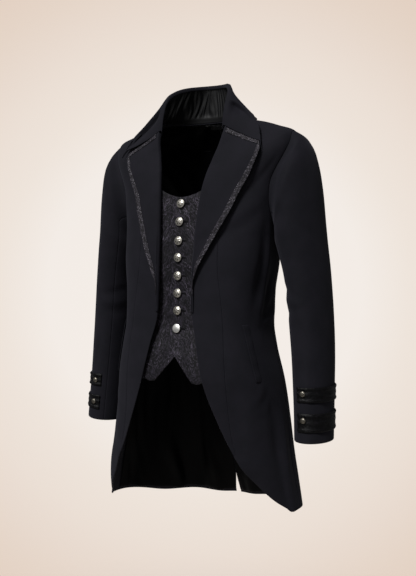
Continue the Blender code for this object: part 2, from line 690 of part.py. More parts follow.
def waistcoat_grid():
    """Level, angle and lift of the waistcoat's outer face, from its centre edge to the princess seam."""
    panel = panel_levels()
    seam_rows = panel[(panel > WAISTCOAT_SIDE_BOTTOM) & (panel < WAISTCOAT_SIDE_TOP)]
    v = (seam_rows - seam_rows[0]) / (seam_rows[-1] - seam_rows[0])
    across = np.array(column(WAISTCOAT_EDGE_ROWS, WAISTCOAT_EDGE_COLUMNS, "across"))
    bottom = column(WAISTCOAT_EDGE_ROWS, WAISTCOAT_EDGE_COLUMNS, "bottom") + [seam_rows[0]]
    top = column(WAISTCOAT_EDGE_ROWS, WAISTCOAT_EDGE_COLUMNS, "top") + [seam_rows[-1]]
    levels = np.array(bottom)[None] * (1 - v[:, None]) + np.array(top)[None] * v[:, None]
    angles = np.empty_like(levels)
    for j, x in enumerate(across):
        angles[:, j] = np.where(x < 0, -180 - angle_at(levels[:, j], abs(x)), angle_at(levels[:, j], x))
    angles[:, 0] = -180 - angle_at(levels[:, 0], abs(across[0]))
    angles[:, -1] = princess_seam(levels[:, -1])
    depth = smooth([row[0] for row in WAISTCOAT_DEPTH_ROWS], [row[1] for row in WAISTCOAT_DEPTH_ROWS], levels)
    sewn = COAT_WALL + LAYER_GAP
    reach = np.append(across, WAISTCOAT_SEWN_ACROSS)
    share = ease((WAISTCOAT_SEWN_ACROSS - reach) / (WAISTCOAT_SEWN_ACROSS - WAISTCOAT_FREE_ACROSS))[None]
    lift = -(sewn + (depth * CM - sewn) * share)
    return levels, angles, lift


def make_waistcoat():
    """The two mock waistcoat fronts, left over right."""
    levels, angles, lift = waistcoat_grid()
    crossing = angles < -90
    folded = np.where(crossing, -180 - angles, angles)
    normals = body_directions(levels, folded)[1]
    across = column(WAISTCOAT_EDGE_ROWS, WAISTCOAT_EDGE_COLUMNS, "across")
    reach = np.array(across + [WAISTCOAT_SEWN_ACROSS])
    lap = ease((WAISTCOAT_LAP_ACROSS - reach) / (WAISTCOAT_LAP_ACROSS - WAISTCOAT_OVERLAP))[None]
    turned = np.where(crossing[..., None], -1.0, 1.0) * np.array([1.0, 0, 0]) + np.array([0, 1.0, 1.0])
    for side in (LEFT, RIGHT):
        under = 0.0 if side == LEFT else -(WAISTCOAT_WALL + 2 * LAYER_GAP)
        points = body(levels, folded, lift + under * lap) * turned
        name = f"waistcoat_{SIDE_NAMES[side]}"
        facing = mirrored(normals * turned, side)
        cloth(name, leaning(points, side), facing, "brocade", WAISTCOAT_WALL)


def make_button(name, place, outward, scale=1.0):
    """A domed button turned about its shank, its shank on the cloth at place."""
    shape = bmesh.new()
    section = [shape.verts.new((r * scale * MM, 0.0, h * scale * MM)) for r, h in BUTTON_SECTION]
    edges = [shape.edges.new(pair) for pair in zip(section, section[1:])]
    bmesh.ops.spin(
        shape, geom=section + edges, cent=(0, 0, 0), axis=(0, 0, 1),
        angle=math.tau, steps=BUTTON_SEGMENTS, use_duplicate=False,
    )
    bmesh.ops.remove_doubles(shape, verts=shape.verts, dist=0.02 * MM)
    bmesh.ops.recalc_face_normals(shape, faces=shape.faces)
    button = keep(name, shape, "antique_silver")
    turn = Vector((0, 0, 1)).rotation_difference(Vector(outward)).to_matrix().to_4x4()
    button.matrix_world = Matrix.Translation(Vector(place)) @ turn
    return button


def make_waistcoat_buttons():
    """The row of domed buttons down the waistcoat."""
    levels = np.linspace(WAISTCOAT_SIDE_BOTTOM, WAISTCOAT_SIDE_TOP, 200)
    heights = body_ring(levels, "z_front")
    rows = WAISTCOAT_DEPTH_ROWS
    for k, (height, seat) in enumerate(BUTTON_ROWS):
        level = np.interp(height, heights, levels)
        depth = float(smooth([row[0] for row in rows], [row[1] for row in rows], level)) * CM
        place = body(level, -90.0, seat * MM - depth)
        out = body_directions(np.array(level), np.array(-90.0))[1]
        make_button(f"waistcoat_button_{k + 1}", place, out)


def armhole_ring(degrees):
    """The armhole's points, by angle round the sleeve from its outer side through the front."""
    turns = np.radians(degrees)
    middle = (SHOULDER_LEVEL + ARMPIT_LEVEL) / 2
    level = middle + (SHOULDER_LEVEL - ARMPIT_LEVEL) / 2 * np.cos(turns)
    in_front = np.sin(turns) > 0
    angle = np.where(
        in_front, armhole_angle(level, -ARMHOLE_FRONT_ANGLE), armhole_angle(level, ARMHOLE_BACK_ANGLE)
    )
    return body(level, angle)


def sleeve_ring(row, degrees, lift=0.0):
    """Points of one ring of the sleeve, at angles from the outer side through the front, in metres."""
    z_mid, rise, x_mid, half_x, y_mid, half_y = row
    turn = np.radians(degrees)
    x = x_mid + (half_x + lift) * np.cos(turn)
    y = y_mid - (half_y + lift) * np.sin(turn)
    z = z_mid + rise * np.cos(turn)
    return np.stack([x, y, z], axis=-1) * CM


def sleeve_row_at(z):
    """A ring of the lower sleeve at any height, between the table's rows."""
    rows = SLEEVE_RING_ROWS[::-1]
    heights = [row[0] for row in rows]
    names = SLEEVE_RING_COLUMNS[1:]
    return (z, *(float(smooth(heights, column(rows, SLEEVE_RING_COLUMNS, n), z)) for n in names))


def make_sleeve(side):
    """Top and under sleeve, from the armhole to the cuff."""
    step = 360.0 / SLEEVE_COLUMNS
    degrees = np.arange(SLEEVE_COLUMNS + 1) * step
    rings = [armhole_ring(degrees)] + [sleeve_ring(row, degrees) for row in SLEEVE_RING_ROWS]
    rings[0] = rings[0] + unit(rings[1] - rings[0]) * SLEEVE_HEAD_GAP
    tube = np.stack(rings)
    wrapped = np.concatenate([tube[:, -2:-1], tube, tube[:, 1:2]], axis=1)
    normals = grid_normals(wrapped)[:, 1:-1]
    first, last = round(SLEEVE_FRONT_SEAM / step), round(SLEEVE_BACK_SEAM / step)
    pieces = {
        "under": np.arange(first, last + 1),
        "top": np.arange(last, first + SLEEVE_COLUMNS + 1) % SLEEVE_COLUMNS,
    }
    for piece, lines in pieces.items():
        name = f"sleeve_{piece}_{SIDE_NAMES[side]}"
        points = mirrored(inset_sides(tube[:, lines]), side)
        cloth(name, points, mirrored(normals[:, lines], side), "coat_twill", COAT_WALL)


def make_straps(side):
    """The two buttoned straps on a cuff."""
    word = SIDE_NAMES[side]
    step = 360.0 / SLEEVE_COLUMNS
    count = round((STRAP_FRONT_ANGLE - STRAP_BACK_ANGLE) / step) + 1
    degrees = np.linspace(STRAP_FRONT_ANGLE, STRAP_BACK_ANGLE, count)
    lift = (STRAP_WALL + LAYER_GAP) / CM
    for place, (low, high) in STRAPS.items():
        heights = np.linspace(low, high, 3)
        points = np.stack([sleeve_ring(sleeve_row_at(z), degrees, lift) for z in heights])
        bare = np.stack([sleeve_ring(sleeve_row_at(z), degrees) for z in heights])
        normals = unit(points - bare)
        name = f"cuff_strap_{place}_{word}"
        cloth(name, mirrored(points, side), mirrored(normals, side), "brocade", STRAP_WALL)
        middle = sleeve_row_at((low + high) / 2)
        seat = sleeve_ring(middle, STRAP_BUTTON_ANGLE, lift)
        out = unit(seat - sleeve_ring(middle, STRAP_BUTTON_ANGLE, 0.0))
        seat = mirrored(seat + out * CUFF_BUTTON_SEAT, side)
        make_button(f"cuff_button_{place}_{word}", seat, mirrored(out, side), CUFF_BUTTON_SCALE)


def make_welt(side):
    """The slanted welt of a pocket."""
    down = np.linspace(0, 1, WELT_ROWS)[:, None]
    across = WELT_TOP[0] + (WELT_BOTTOM[0] - WELT_TOP[0]) * down
    level = WELT_TOP[1] + (WELT_BOTTOM[1] - WELT_TOP[1]) * down
    wide = np.linspace(0, 1, WELT_COLUMNS)[None]
    angle = angle_at(level, across) + 0 * wide
    per_degree = np.linalg.norm(body(level, angle[:, :1] + 1) - body(level, angle[:, :1]), axis=-1) / CM
    angle = angle + wide * WELT_WIDTH / per_degree
    level = level + 0 * wide
    lift = WELT_WALL + WELT_CLEARANCE
    name = f"pocket_welt_{SIDE_NAMES[side]}"
    body_cloth(name, level, angle, lift, side, "coat_twill", WELT_WALL, inset=False)


def neck_strip(half_width, levels, count, clearance):
    """A small piece across the centre back, inside the lining: its points and normals."""
    inside = -(COAT_WALL + LAYER_GAP + LINING_WALL + clearance)
    ring = np.linspace(40.0, 90.0, 101)
    across = np.linspace(-half_width, half_width, count) * CM
    rows = []
    for level in levels:
        reach = body(np.full_like(ring, level), ring, inside)
        angle = np.interp(-np.abs(across), -reach[:, 0], ring)
        row = body(np.full_like(angle, level), angle, inside)
        row[:, 0] = across
        rows.append(row)
    points = np.stack(rows)
    return points, np.broadcast_to(np.array([0.0, 1.0, 0.0]), points.shape)


def make_neck_pieces():
    """The bare label and the hanger loop inside the back neck."""
    levels = np.linspace(*LABEL_LEVELS, 3)
    points, normals = neck_strip(LABEL_HALF_WIDTH, levels, 5, NECK_CLEARANCE)
    cloth("neck_label", points, normals, "label_tape", LABEL_WALL)
    points, normals = neck_strip(LOOP_HALF_WIDTH, LOOP_LEVELS, 9, NECK_CLEARANCE)
    cloth("hanger_loop", points, normals, "satin", LOOP_WALL)


def main():
    """Builds the coat."""
    for thing in list(bpy.data.objects):
        bpy.data.objects.remove(thing, do_unlink=True)
    for side in (LEFT, RIGHT):
        make_coat_panels(side)
        make_lapel(side)
        make_sleeve(side)
        make_straps(side)
        make_welt(side)
    make_collar()
    make_waistcoat()
    make_waistcoat_buttons()
    make_neck_pieces()


main()
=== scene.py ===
"""Looks of a redingote: a black cutaway tailcoat with a brocade waistcoat front, hollow, as it is worn.

Frame: metres, +Z up, the front faces -Y and the wearer's left is +X. Tables are in centimetres, as a cutter
writes them. Each panel is a fine grid on the body surface of the solids: a place on it has a level, the
distance up the cloth from the hem, and an angle, 0 at the wearer's side, -90 at the centre front and +90 at
the back.
"""

import logging
import math
from dataclasses import dataclass, field
from enum import Enum

import bmesh
import bpy
import numpy as np
from mathutils import Matrix, Vector


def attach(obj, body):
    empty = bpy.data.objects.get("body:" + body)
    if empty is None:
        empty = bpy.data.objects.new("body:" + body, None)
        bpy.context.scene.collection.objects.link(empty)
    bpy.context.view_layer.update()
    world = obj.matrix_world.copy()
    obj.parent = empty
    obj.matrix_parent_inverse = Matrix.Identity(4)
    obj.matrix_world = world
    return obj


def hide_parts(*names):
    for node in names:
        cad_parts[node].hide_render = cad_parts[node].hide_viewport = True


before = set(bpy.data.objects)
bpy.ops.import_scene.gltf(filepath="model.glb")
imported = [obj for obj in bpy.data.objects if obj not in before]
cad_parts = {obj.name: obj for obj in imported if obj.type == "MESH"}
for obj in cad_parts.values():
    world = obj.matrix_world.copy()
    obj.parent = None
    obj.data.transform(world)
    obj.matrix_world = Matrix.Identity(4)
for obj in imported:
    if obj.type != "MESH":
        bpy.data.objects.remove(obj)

log = logging.getLogger("redingote")

CM = 0.01
MM = 0.001
UP = np.array([0.0, 0.0, 1.0])
ASIDE = np.array([1.0, 0.0, 0.0])
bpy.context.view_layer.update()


class Side(Enum):
    """The wearer's left or right, as the sign of X there."""

    LEFT = 1.0
    RIGHT = -1.0

    @property
    def word(self) -> str:
        """The side's word in a name."""
        return self.name.lower()


def smooth(xs: list, ys: list, at: np.ndarray) -> np.ndarray:
    """A smooth curve through rows that never swings past a row.

    Args:
        xs: the rows' keys, rising.
        ys: the rows' values.
        at: the keys to read.

    Returns:
        The values there.
    """
    xs, ys, at = np.asarray(xs, float), np.asarray(ys, float), np.asarray(at, float)
    step = np.diff(xs)
    slope = np.diff(ys) / step
    inner = np.zeros(len(xs) - 2)
    same = slope[:-1] * slope[1:] > 0
    weight_a = 2 * step[1:] + step[:-1]
    weight_b = step[1:] + 2 * step[:-1]
    inner[same] = ((weight_a + weight_b)[same]
                   / (weight_a[same] / slope[:-1][same] + weight_b[same] / slope[1:][same]))
    tangent = np.concatenate([slope[:1], inner, slope[-1:]])
    at = np.clip(at, xs[0], xs[-1])
    k = np.clip(np.searchsorted(xs, at, side="right") - 1, 0, len(xs) - 2)
    t = (at - xs[k]) / step[k]
    return ((1 + 2 * t) * (1 - t) ** 2 * ys[k] + t * (1 - t) ** 2 * step[k] * tangent[k]
            + t ** 2 * (3 - 2 * t) * ys[k + 1] + t ** 2 * (t - 1) * step[k] * tangent[k + 1])


def ease(value: np.ndarray) -> np.ndarray:
    """0 below 0, 1 above 1, and a soft rise between."""
    value = np.clip(value, 0.0, 1.0)
    return value * value * (3 - 2 * value)


def unit(vectors: np.ndarray) -> np.ndarray:
    """Vectors of length 1."""
    return vectors / np.maximum(np.linalg.norm(vectors, axis=-1, keepdims=True), 1e-12)


def across(points: np.ndarray, side: Side) -> np.ndarray:
    """Points or directions of the left half, on the side asked for."""
    return points * np.array([side.value, 1.0, 1.0])


def hill(at: np.ndarray, middle: float | np.ndarray, spread: float) -> np.ndarray:
    """A smooth bump of height 1 round a middle."""
    return np.exp(-((at - middle) / spread) ** 2)


def blend(start: float | np.ndarray, end: float | np.ndarray, share: np.ndarray) -> np.ndarray:
    """From start at a share of 0 to end at 1."""
    return start + (end - start) * share


def resample(rows: np.ndarray, count: int) -> np.ndarray:
    """Rows of vectors, read at more places along each row.

    Args:
        rows: the rows.
        count: how many places each row is read at.

    Returns:
        The longer rows.
    """
    at = np.linspace(0, rows.shape[-2] - 1, count)
    k = np.minimum(at.astype(int), rows.shape[-2] - 2)
    return blend(rows[..., k, :], rows[..., k + 1, :], (at - k)[:, None])


def normals(points: np.ndarray) -> np.ndarray:
    """The unit normals of a grid of points, all on the same face of it."""
    return unit(np.cross(np.gradient(points, axis=1), np.gradient(points, axis=0)))


def towards(normal: np.ndarray, smooth_out: np.ndarray) -> np.ndarray:
    """Normals turned to the outside, and softened by a third of the way out of the smooth cloth."""
    sign = np.sign((normal * smooth_out).sum(axis=-1, keepdims=True))
    return unit(normal * sign + 0.35 * smooth_out)


@dataclass(frozen=True)
class Table:
    """A short table with named columns, read along its first column."""

    columns: tuple[str, ...]
    rows: tuple[tuple[float, ...], ...]

    def column(self, name: str) -> list[float]:
        """One named column."""
        return [row[self.columns.index(name)] for row in self.rows]

    def read(self, name: str, at: np.ndarray) -> np.ndarray:
        """A named column at values of the first one."""
        return smooth([row[0] for row in self.rows], self.column(name), at)


@dataclass(frozen=True)
class Creases:
    """Soft troughs and ridges of the cloth, each long one way and narrow the other.

    A row has its side, level, angle, tilt, half length, half width, depth and bend. The side is 1 or -1 for
    one side of the coat and 0 for both. Lengths are in centimetres and depth in millimetres, above 0 for a
    ridge. The tilt is 0 for a crease round the body and 90 for one that hangs.
    """

    cm_per_degree: float
    gain: float
    rows: tuple[tuple[float, ...], ...]

    def height(self, level: np.ndarray, angle: np.ndarray, side: Side) -> np.ndarray:
        """How far the creases move the cloth out.

        Args:
            level: levels of the places, in centimetres.
            angle: their angles, in degrees.
            side: the side of the coat that they are on.

        Returns:
            Heights in metres.
        """
        height = np.zeros(np.broadcast(level, angle).shape)
        for which, level_mid, angle_mid, tilt, half_length, half_width, depth, bend in self.rows:
            if which not in (0, side.value):
                continue
            turn = math.radians(tilt)
            round_way = ((angle - angle_mid + 180.0) % 360.0 - 180.0) * self.cm_per_degree
            up_way = level - level_mid
            along = (round_way * math.cos(turn) + up_way * math.sin(turn)) / half_length
            aside = (up_way * math.cos(turn) - round_way * math.sin(turn) - bend * along ** 2) / half_width
            height = height + self.gain * depth * MM * np.exp(-along ** 2 - aside ** 2)
        return height


@dataclass(frozen=True)
class CoatForm:
    """The body surface that every panel of the coat follows."""

    rings: Table = Table(
        ("level", "z_side", "z_front", "z_back", "half_width",
         "y_wide", "y_front", "y_back", "square_front", "square_back"),
        (
            (0.0, -82.7, -82.7, -84.8, 23.4, -2.2, -7.0, 16.8, 1.95, 1.65),
            (6.5, -76.6, -76.6, -77.7, 22.4, -2.1, -11.8, 14.8, 1.95, 1.72),
            (12.0, -71.4, -71.5, -72.1, 21.4, -2.0, -14.2, 13.2, 1.92, 1.82),
            (20.5, -63.3, -63.3, -63.5, 20.1, -1.7, -14.3, 11.2, 2.10, 2.00),
            (29.0, -55.0, -55.0, -55.0, 18.6, -1.4, -14.2, 9.6, 2.6, 2.20),
            (36.0, -48.0, -48.0, -48.0, 16.9, -1.1, -13.4, 8.2, 3.2, 2.35),
            (40.5, -43.5, -43.5, -43.5, 16.2, -1.0, -12.7, 7.9, 3.4, 2.45),
            (47.0, -37.0, -37.0, -37.0, 16.3, -0.8, -12.3, 8.6, 3.4, 2.50),
            (54.0, -30.1, -30.1, -30.0, 17.2, -0.6, -11.9, 9.6, 3.2, 2.50),
            (59.2, -24.8, -25.0, -24.6, 17.6, -0.5, -11.4, 10.4, 2.9, 2.45),
            (69.4, -14.7, -16.3, -14.8, 19.2, -0.4, -10.1, 10.6, 2.5, 2.40),
            (77.6, -5.7, -12.3, -6.9, 22.1, -0.2, -8.8, 9.6, 2.4, 2.24),
            (79.6, -3.6, -11.5, -5.3, 21.4, -0.2, -8.4, 9.3, 2.4, 2.20),
            (83.5, -2.3, -10.2, -3.7, 18.2, -0.4, -8.0, 8.4, 2.3, 2.15),
            (87.3, -1.2, -9.0, -1.9, 14.6, -0.8, -7.7, 7.3, 2.2, 2.10),
            (93.4, -0.2, -7.5, 0.5, 8.6, -2.5, -8.0, 5.4, 2.2, 2.10),
        ),
    )
    flute_rows: Table = Table(("angle", "spread", "out", "top_level"), (
        (-30.0, 9.0, 0.5, 30.0), (-8.0, 10.0, -0.6, 34.0), (16.0, 11.0, 0.9, 36.0), (40.0, 10.0, -0.9, 34.0),
        (63.0, 9.0, 0.8, 38.0), (80.0, 7.0, -0.4, 30.0),
    ))
    front_edge_rows: Table = Table(("level", "across"), (
        (0.0, 23.0), (0.8, 22.3), (2.0, 21.1), (5.0, 18.8), (11.2, 14.9), (20.6, 10.6), (29.0, 7.4),
        (36.4, 5.6), (43.0, 4.2), (50.0, 4.3), (56.8, 4.45), (69.4, 5.3), (79.6, 6.3), (86.6, 7.2),
        (90.0, 7.8), (93.4, 8.3),
    ))
    princess_rows: Table = Table(("level", "across"), (
        (12.0, 14.9), (13.6, 14.2), (19.0, 13.0), (32.5, 11.8), (44.0, 10.7), (53.5, 9.6), (66.0, 9.4),
        (79.6, 10.7), (83.5, 11.8), (87.3, 11.8), (90.4, 10.5), (93.4, 8.59),
    ))
    break_level: float = 43.0
    armpit_level: float = 59.2
    shoulder_level: float = 79.6
    neck_level: float = 93.4
    side_seam: float = 8.0
    armhole_front: float = -30.0
    armhole_back: float = 36.0
    neck_point: float = 18.0
    skirt_rows: int = 79
    armhole_rows: int = 37
    yoke_rows: int = 22
    sway: float = 0.8 * CM
    lean: float = 0.055
    lean_top: float = -0.55
    lean_bottom: float = -0.82
    creases: Creases = Creases(cm_per_degree=0.31, gain=1.25, rows=(
        (1, 52.0, -23.0, 84.0, 8.0, 1.5, -4.0, 0.8), (1, 51.0, -15.5, 88.0, 9.0, 1.3, 3.2, 0.6),
        (1, 46.0, -8.0, 66.0, 5.5, 1.1, -2.6, 0.5), (1, 43.5, -2.0, 18.0, 4.6, 1.0, -2.4, 0.4),
        (1, 41.6, 2.0, 10.0, 5.2, 1.0, 2.2, 0.5), (1, 27.0, -27.5, 62.0, 2.6, 0.8, 1.2, 0.4),
        (1, 25.2, -25.0, 38.0, 2.9, 0.7, -1.0, 0.3), (1, 23.4, -21.5, 74.0, 2.3, 0.7, 0.9, 0.2),
        (1, 21.8, -26.0, 20.0, 2.6, 0.7, -0.7, 0.3), (1, 18.0, -38.0, 82.0, 13.0, 2.0, 2.4, 1.0),
        (1, 15.0, -13.0, 95.0, 12.0, 1.9, -3.6, 0.9), (1, 12.0, -3.5, 86.0, 11.0, 1.7, 3.4, 0.7),
        (1, 11.0, 8.0, 92.0, 10.0, 1.6, -2.8, 0.8), (1, 64.0, -44.0, 34.0, 6.5, 1.6, 1.5, 0.6),
        (1, 60.5, -47.0, 28.0, 6.0, 1.4, -1.6, 0.5), (1, 72.0, -36.0, 60.0, 4.5, 1.2, -1.6, 0.4),
        (-1, 53.0, -25.0, 82.0, 7.0, 1.4, -3.6, 0.7), (-1, 50.0, -17.0, 90.0, 8.5, 1.3, 3.0, 0.6),
        (-1, 47.5, -9.0, 70.0, 5.0, 1.1, -2.4, 0.5), (-1, 42.2, -4.0, 14.0, 5.0, 1.0, -2.4, 0.4),
        (-1, 40.0, 3.0, 8.0, 4.6, 1.0, 2.0, 0.4), (-1, 26.0, -26.0, 55.0, 2.8, 0.8, 1.1, 0.3),
        (-1, 24.0, -23.0, 30.0, 2.6, 0.7, -0.9, 0.3), (-1, 19.0, -40.0, 84.0, 12.0, 2.0, 2.2, 0.9),
        (-1, 14.0, -15.0, 90.0, 13.0, 2.0, -3.4, 0.8), (-1, 13.0, -5.0, 94.0, 10.0, 1.6, 3.2, 0.7),
        (-1, 63.0, -46.0, 30.0, 6.0, 1.6, 1.4, 0.5), (0, 61.0, 34.0, 70.0, 7.0, 1.5, -3.4, 0.8),
        (0, 58.0, 41.0, 82.0, 8.0, 1.4, 2.8, 0.7), (0, 49.5, 60.0, 9.0, 6.0, 1.1, 2.2, 0.5),
        (1, 47.2, 66.0, 4.0, 6.6, 1.1, -2.6, 0.5), (-1, 46.4, 62.0, 12.0, 6.0, 1.1, -2.6, 0.4),
        (0, 44.6, 54.0, -6.0, 5.4, 1.0, 2.0, 0.4), (1, 76.5, 62.0, 14.0, 6.5, 1.6, -1.8, 0.6),
        (-1, 75.5, 58.0, 18.0, 6.0, 1.6, -1.8, 0.6), (1, 20.0, 27.0, 88.0, 13.0, 2.2, 3.4, 0.9),
        (-1, 18.0, 30.0, 92.0, 13.0, 2.2, 3.2, 0.9), (0, 21.0, 52.0, 90.0, 14.0, 2.0, -3.0, 0.8),
        (1, 17.0, 71.0, 93.0, 12.0, 1.9, 2.8, 0.6), (-1, 19.0, 74.0, 88.0, 12.0, 1.9, 2.6, 0.6),
    ))

    def ring(self, name: str, level: np.ndarray) -> np.ndarray:
        """A column of the ring table, read at the levels."""
        return self.rings.read(name, level)

    def bare(self, level: np.ndarray, angle: np.ndarray) -> np.ndarray:
        """Points of the surface without flutes or creases.

        Args:
            level: levels, in centimetres.
            angle: angles, in degrees.

        Returns:
            Points in centimetres, on the left half.
        """
        turn = np.radians(angle)
        front = angle < 0
        square = np.where(front, self.ring("square_front", level), self.ring("square_back", level))
        y_wide = self.ring("y_wide", level)
        depth = np.where(front, y_wide - self.ring("y_front", level), self.ring("y_back", level) - y_wide)
        reach = (np.abs(np.cos(turn)) ** square + np.abs(np.sin(turn)) ** square) ** (-1 / square)
        share = np.sin(turn) ** 2
        end_z = np.where(front, self.ring("z_front", level), self.ring("z_back", level))
        return np.stack([
            self.ring("half_width", level) * reach * np.cos(turn),
            y_wide + depth * reach * np.sin(turn),
            self.ring("z_side", level) * (1 - share) + end_z * share,
        ], axis=-1)

    def directions(self, level: np.ndarray, angle: np.ndarray) -> tuple[np.ndarray, np.ndarray]:
        """The way round to the back and the way out of the cloth.

        Args:
            level: levels, in centimetres.
            angle: angles, in degrees.

        Returns:
            Two arrays of unit vectors, on the left half.
        """
        back = unit(self.bare(level, angle + 0.4) - self.bare(level, angle - 0.4))
        up = unit(self.bare(level + 0.2, angle) - self.bare(level - 0.2, angle))
        return back, unit(np.cross(back, up))

    def flutes(self, level: np.ndarray, angle: np.ndarray) -> np.ndarray:
        """How far the skirt's flutes stand out.

        Args:
            level: levels, in centimetres.
            angle: angles, in degrees.

        Returns:
            Heights in centimetres.
        """
        out = np.zeros(np.broadcast(level, angle).shape)
        for middle, spread, height, top in self.flute_rows.rows:
            out = out + height * hill(angle, middle, spread) * ease(1 - level / top)
        return out

    def outward(self, level: np.ndarray, angle: np.ndarray, side: Side = Side.LEFT) -> np.ndarray:
        """The way out of the smooth cloth on one side of the coat."""
        return across(self.directions(level, angle)[1], side)

    def place(
        self, level: np.ndarray, angle: np.ndarray, lift: float | np.ndarray = 0.0,
        side: Side = Side.LEFT, creased: bool = True, hung: bool = True,
    ) -> np.ndarray:
        """Points on one side of the coat.

        Args:
            level: levels, in centimetres.
            angle: angles, in degrees.
            lift: how far off the cloth's outer face, in metres.
            side: the side of the coat.
            creased: whether the cloth has its creases.
            hung: whether it has the skirt's sway and lean.

        Returns:
            Points in metres.
        """
        level, angle, lift = np.broadcast_arrays(*(np.asarray(v, float) for v in (level, angle, lift)))
        height = self.flutes(level, angle) * CM + lift
        if creased:
            height = height + self.creases.height(level, angle, side)
        points = self.bare(level, angle) * CM + self.outward(level, angle) * height[..., None]
        return self.hang(across(points, side)) if hung else across(points, side)

    def hang(self, points: np.ndarray) -> np.ndarray:
        """Gives points the sway and the lean of the skirt.

        Args:
            points: points on the coat as it would hang straight.

        Returns:
            The points where the cloth hangs.
        """
        share = ease((self.lean_top - points[..., 2]) / (self.lean_top - self.lean_bottom))
        moved = points.copy()
        moved[..., 2] += self.lean * points[..., 0] * share
        moved[..., 0] -= self.sway * share
        return moved

    def angle_at(self, level: np.ndarray, reach: np.ndarray) -> np.ndarray:
        """Finds a place on the front.

        Args:
            level: levels, in centimetres.
            reach: distances from the centre line, in centimetres.

        Returns:
            Their angles in degrees.
        """
        square = self.ring("square_front", level)
        share = np.clip(np.asarray(reach, float) / self.ring("half_width", level), 0.001, 0.9999)
        return -np.degrees(np.arctan((share ** -square - 1) ** (1 / square)))

    def front_edge(self, level: np.ndarray) -> np.ndarray:
        """The angle of the cutaway edge and, above the break, of the roll line."""
        return self.angle_at(level, self.front_edge_rows.read("across", level))

    def princess(self, level: np.ndarray) -> np.ndarray:
        """The angle of the princess seam."""
        return self.angle_at(level, self.princess_rows.read("across", level))

    def armhole_level(self, turn: np.ndarray) -> np.ndarray:
        """Levels round the armhole, from the shoulder at a turn of 0 to the armpit at half a round."""
        return blend(self.armpit_level, self.shoulder_level, (1 + np.cos(turn)) / 2)

    def side_limit(self, level: np.ndarray, reach: np.ndarray) -> np.ndarray:
        """Where a panel ends at the side: the side seam, then the armhole, then the shoulder seam.

        Args:
            level: levels, in centimetres.
            reach: how far the armhole swings, in degrees, below 0 in front.

        Returns:
            Angles in degrees.
        """
        middle = self.armhole_level(math.pi / 2)
        rise = np.clip((level - middle) / (self.shoulder_level - middle), -1, 1)
        armhole = self.side_seam / 2 * (1 - rise) + reach * np.sqrt(1 - rise ** 2)
        shoulder = self.neck_point * (level - self.shoulder_level) / (self.neck_level - self.shoulder_level)
        angle = np.where(level < self.armpit_level, self.side_seam, armhole)
        return np.where(level > self.shoulder_level, shoulder, angle)

    def panel_levels(self, lowest: float) -> np.ndarray:
        """Levels of a panel's rows, closer together where the armhole turns.

        Args:
            lowest: the lowest level.

        Returns:
            The levels, rising.
        """
        armhole = self.armhole_level(np.linspace(math.pi, 0.0, self.armhole_rows))
        skirt = np.linspace(0.0, self.armpit_level, self.skirt_rows, endpoint=False)
        yoke = np.linspace(self.shoulder_level, self.neck_level, self.yoke_rows)[1:]
        levels = np.concatenate([skirt, armhole, yoke])
        return np.concatenate([[lowest], levels[levels > lowest + 0.2]])


Socket = bpy.types.NodeSocket


def linear(code: str) -> tuple[float, float, float, float]:
    """The linear colour of an sRGB hex value."""
    values = [int(code[k:k + 2], 16) / 255 for k in (1, 3, 5)]
    return (*(v / 12.92 if v <= 0.04045 else ((v + 0.055) / 1.055) ** 2.4 for v in values), 1.0)


@dataclass(frozen=True)
class Nodes:
    """A node tree. Each method adds a node to it and gives the output that is used."""

    tree: bpy.types.NodeTree

    def add(self, kind: str, inputs: dict | None = None, out: str | int = 0, **settings) -> Socket | None:
        """Adds a node with its settings and links.

        Args:
            kind: the node's type, without the words ShaderNode.
            inputs: for each input, by name or number, its value or the output that feeds it.
            out: the output that is used, by name or number.
            settings: the node's own settings.

        Returns:
            That output, or None for a node that has none.
        """
        node = self.tree.nodes.new(f"ShaderNode{kind}")
        for name, value in settings.items():
            setattr(node, name, value)
        for key, value in (inputs or {}).items():
            if isinstance(value, Socket):
                self.tree.links.new(value, node.inputs[key])
            else:
                node.inputs[key].default_value = value
        return node.outputs[out] if len(node.outputs) else None

    def place(self, kind: str) -> Socket:
        """Where the shaded point is: UV for its place on the cut, Object for its place on the coat."""
        return self.add("TexCoord", out=kind)

    def noise(
        self, place: Socket, scale: float, detail: float, rough: float = 0.5, bent: float = 0.0
    ) -> Socket:
        """Noise from 0 to 1."""
        inputs = {"Vector": place, "Scale": scale, "Detail": detail, "Roughness": rough, "Distortion": bent}
        return self.add("TexNoise", inputs, "Fac")

    def sum(self, operation: str, *values: Socket | float, clamped: bool = False) -> Socket:
        """One sum on values."""
        return self.add("Math", dict(enumerate(values)), operation=operation, use_clamp=clamped)

    def remap(self, value: Socket, low: float, high: float, start: float = 0.0, end: float = 1.0) -> Socket:
        """Goes from low to high while the value goes from start to end."""
        span = {"From Min": start, "From Max": end, "To Min": low, "To Max": high}
        return self.add("MapRange", {"Value": value, **span})

    def bump(self, height: Socket, strength: float, distance: float) -> Socket:
        """A normal bent by a height."""
        return self.add("Bump", {"Height": height, "Strength": strength, "Distance": distance})

    def ramp(self, value: Socket, *stops: tuple[float, str]) -> Socket:
        """A colour read from a ramp.

        Args:
            value: what is read through it.
            stops: the ramp's places and sRGB hex colours.

        Returns:
            The colour.
        """
        colour = self.add("ValToRGB", {"Fac": value}, "Color")
        elements = colour.node.color_ramp.elements
        while len(elements) < len(stops):
            elements.new(0.5)
        for element, (place, code) in zip(elements, stops):
            element.position, element.color = place, linear(code)
        return colour

    def surface(self, colour: Socket, roughness: Socket | float, normal: Socket, more: dict) -> Socket:
        """A surface shader with a colour, a roughness, a normal and more inputs."""
        inputs = {"Base Color": colour, "Roughness": roughness, "Normal": normal, **more}
        return self.add("BsdfPrincipled", inputs)


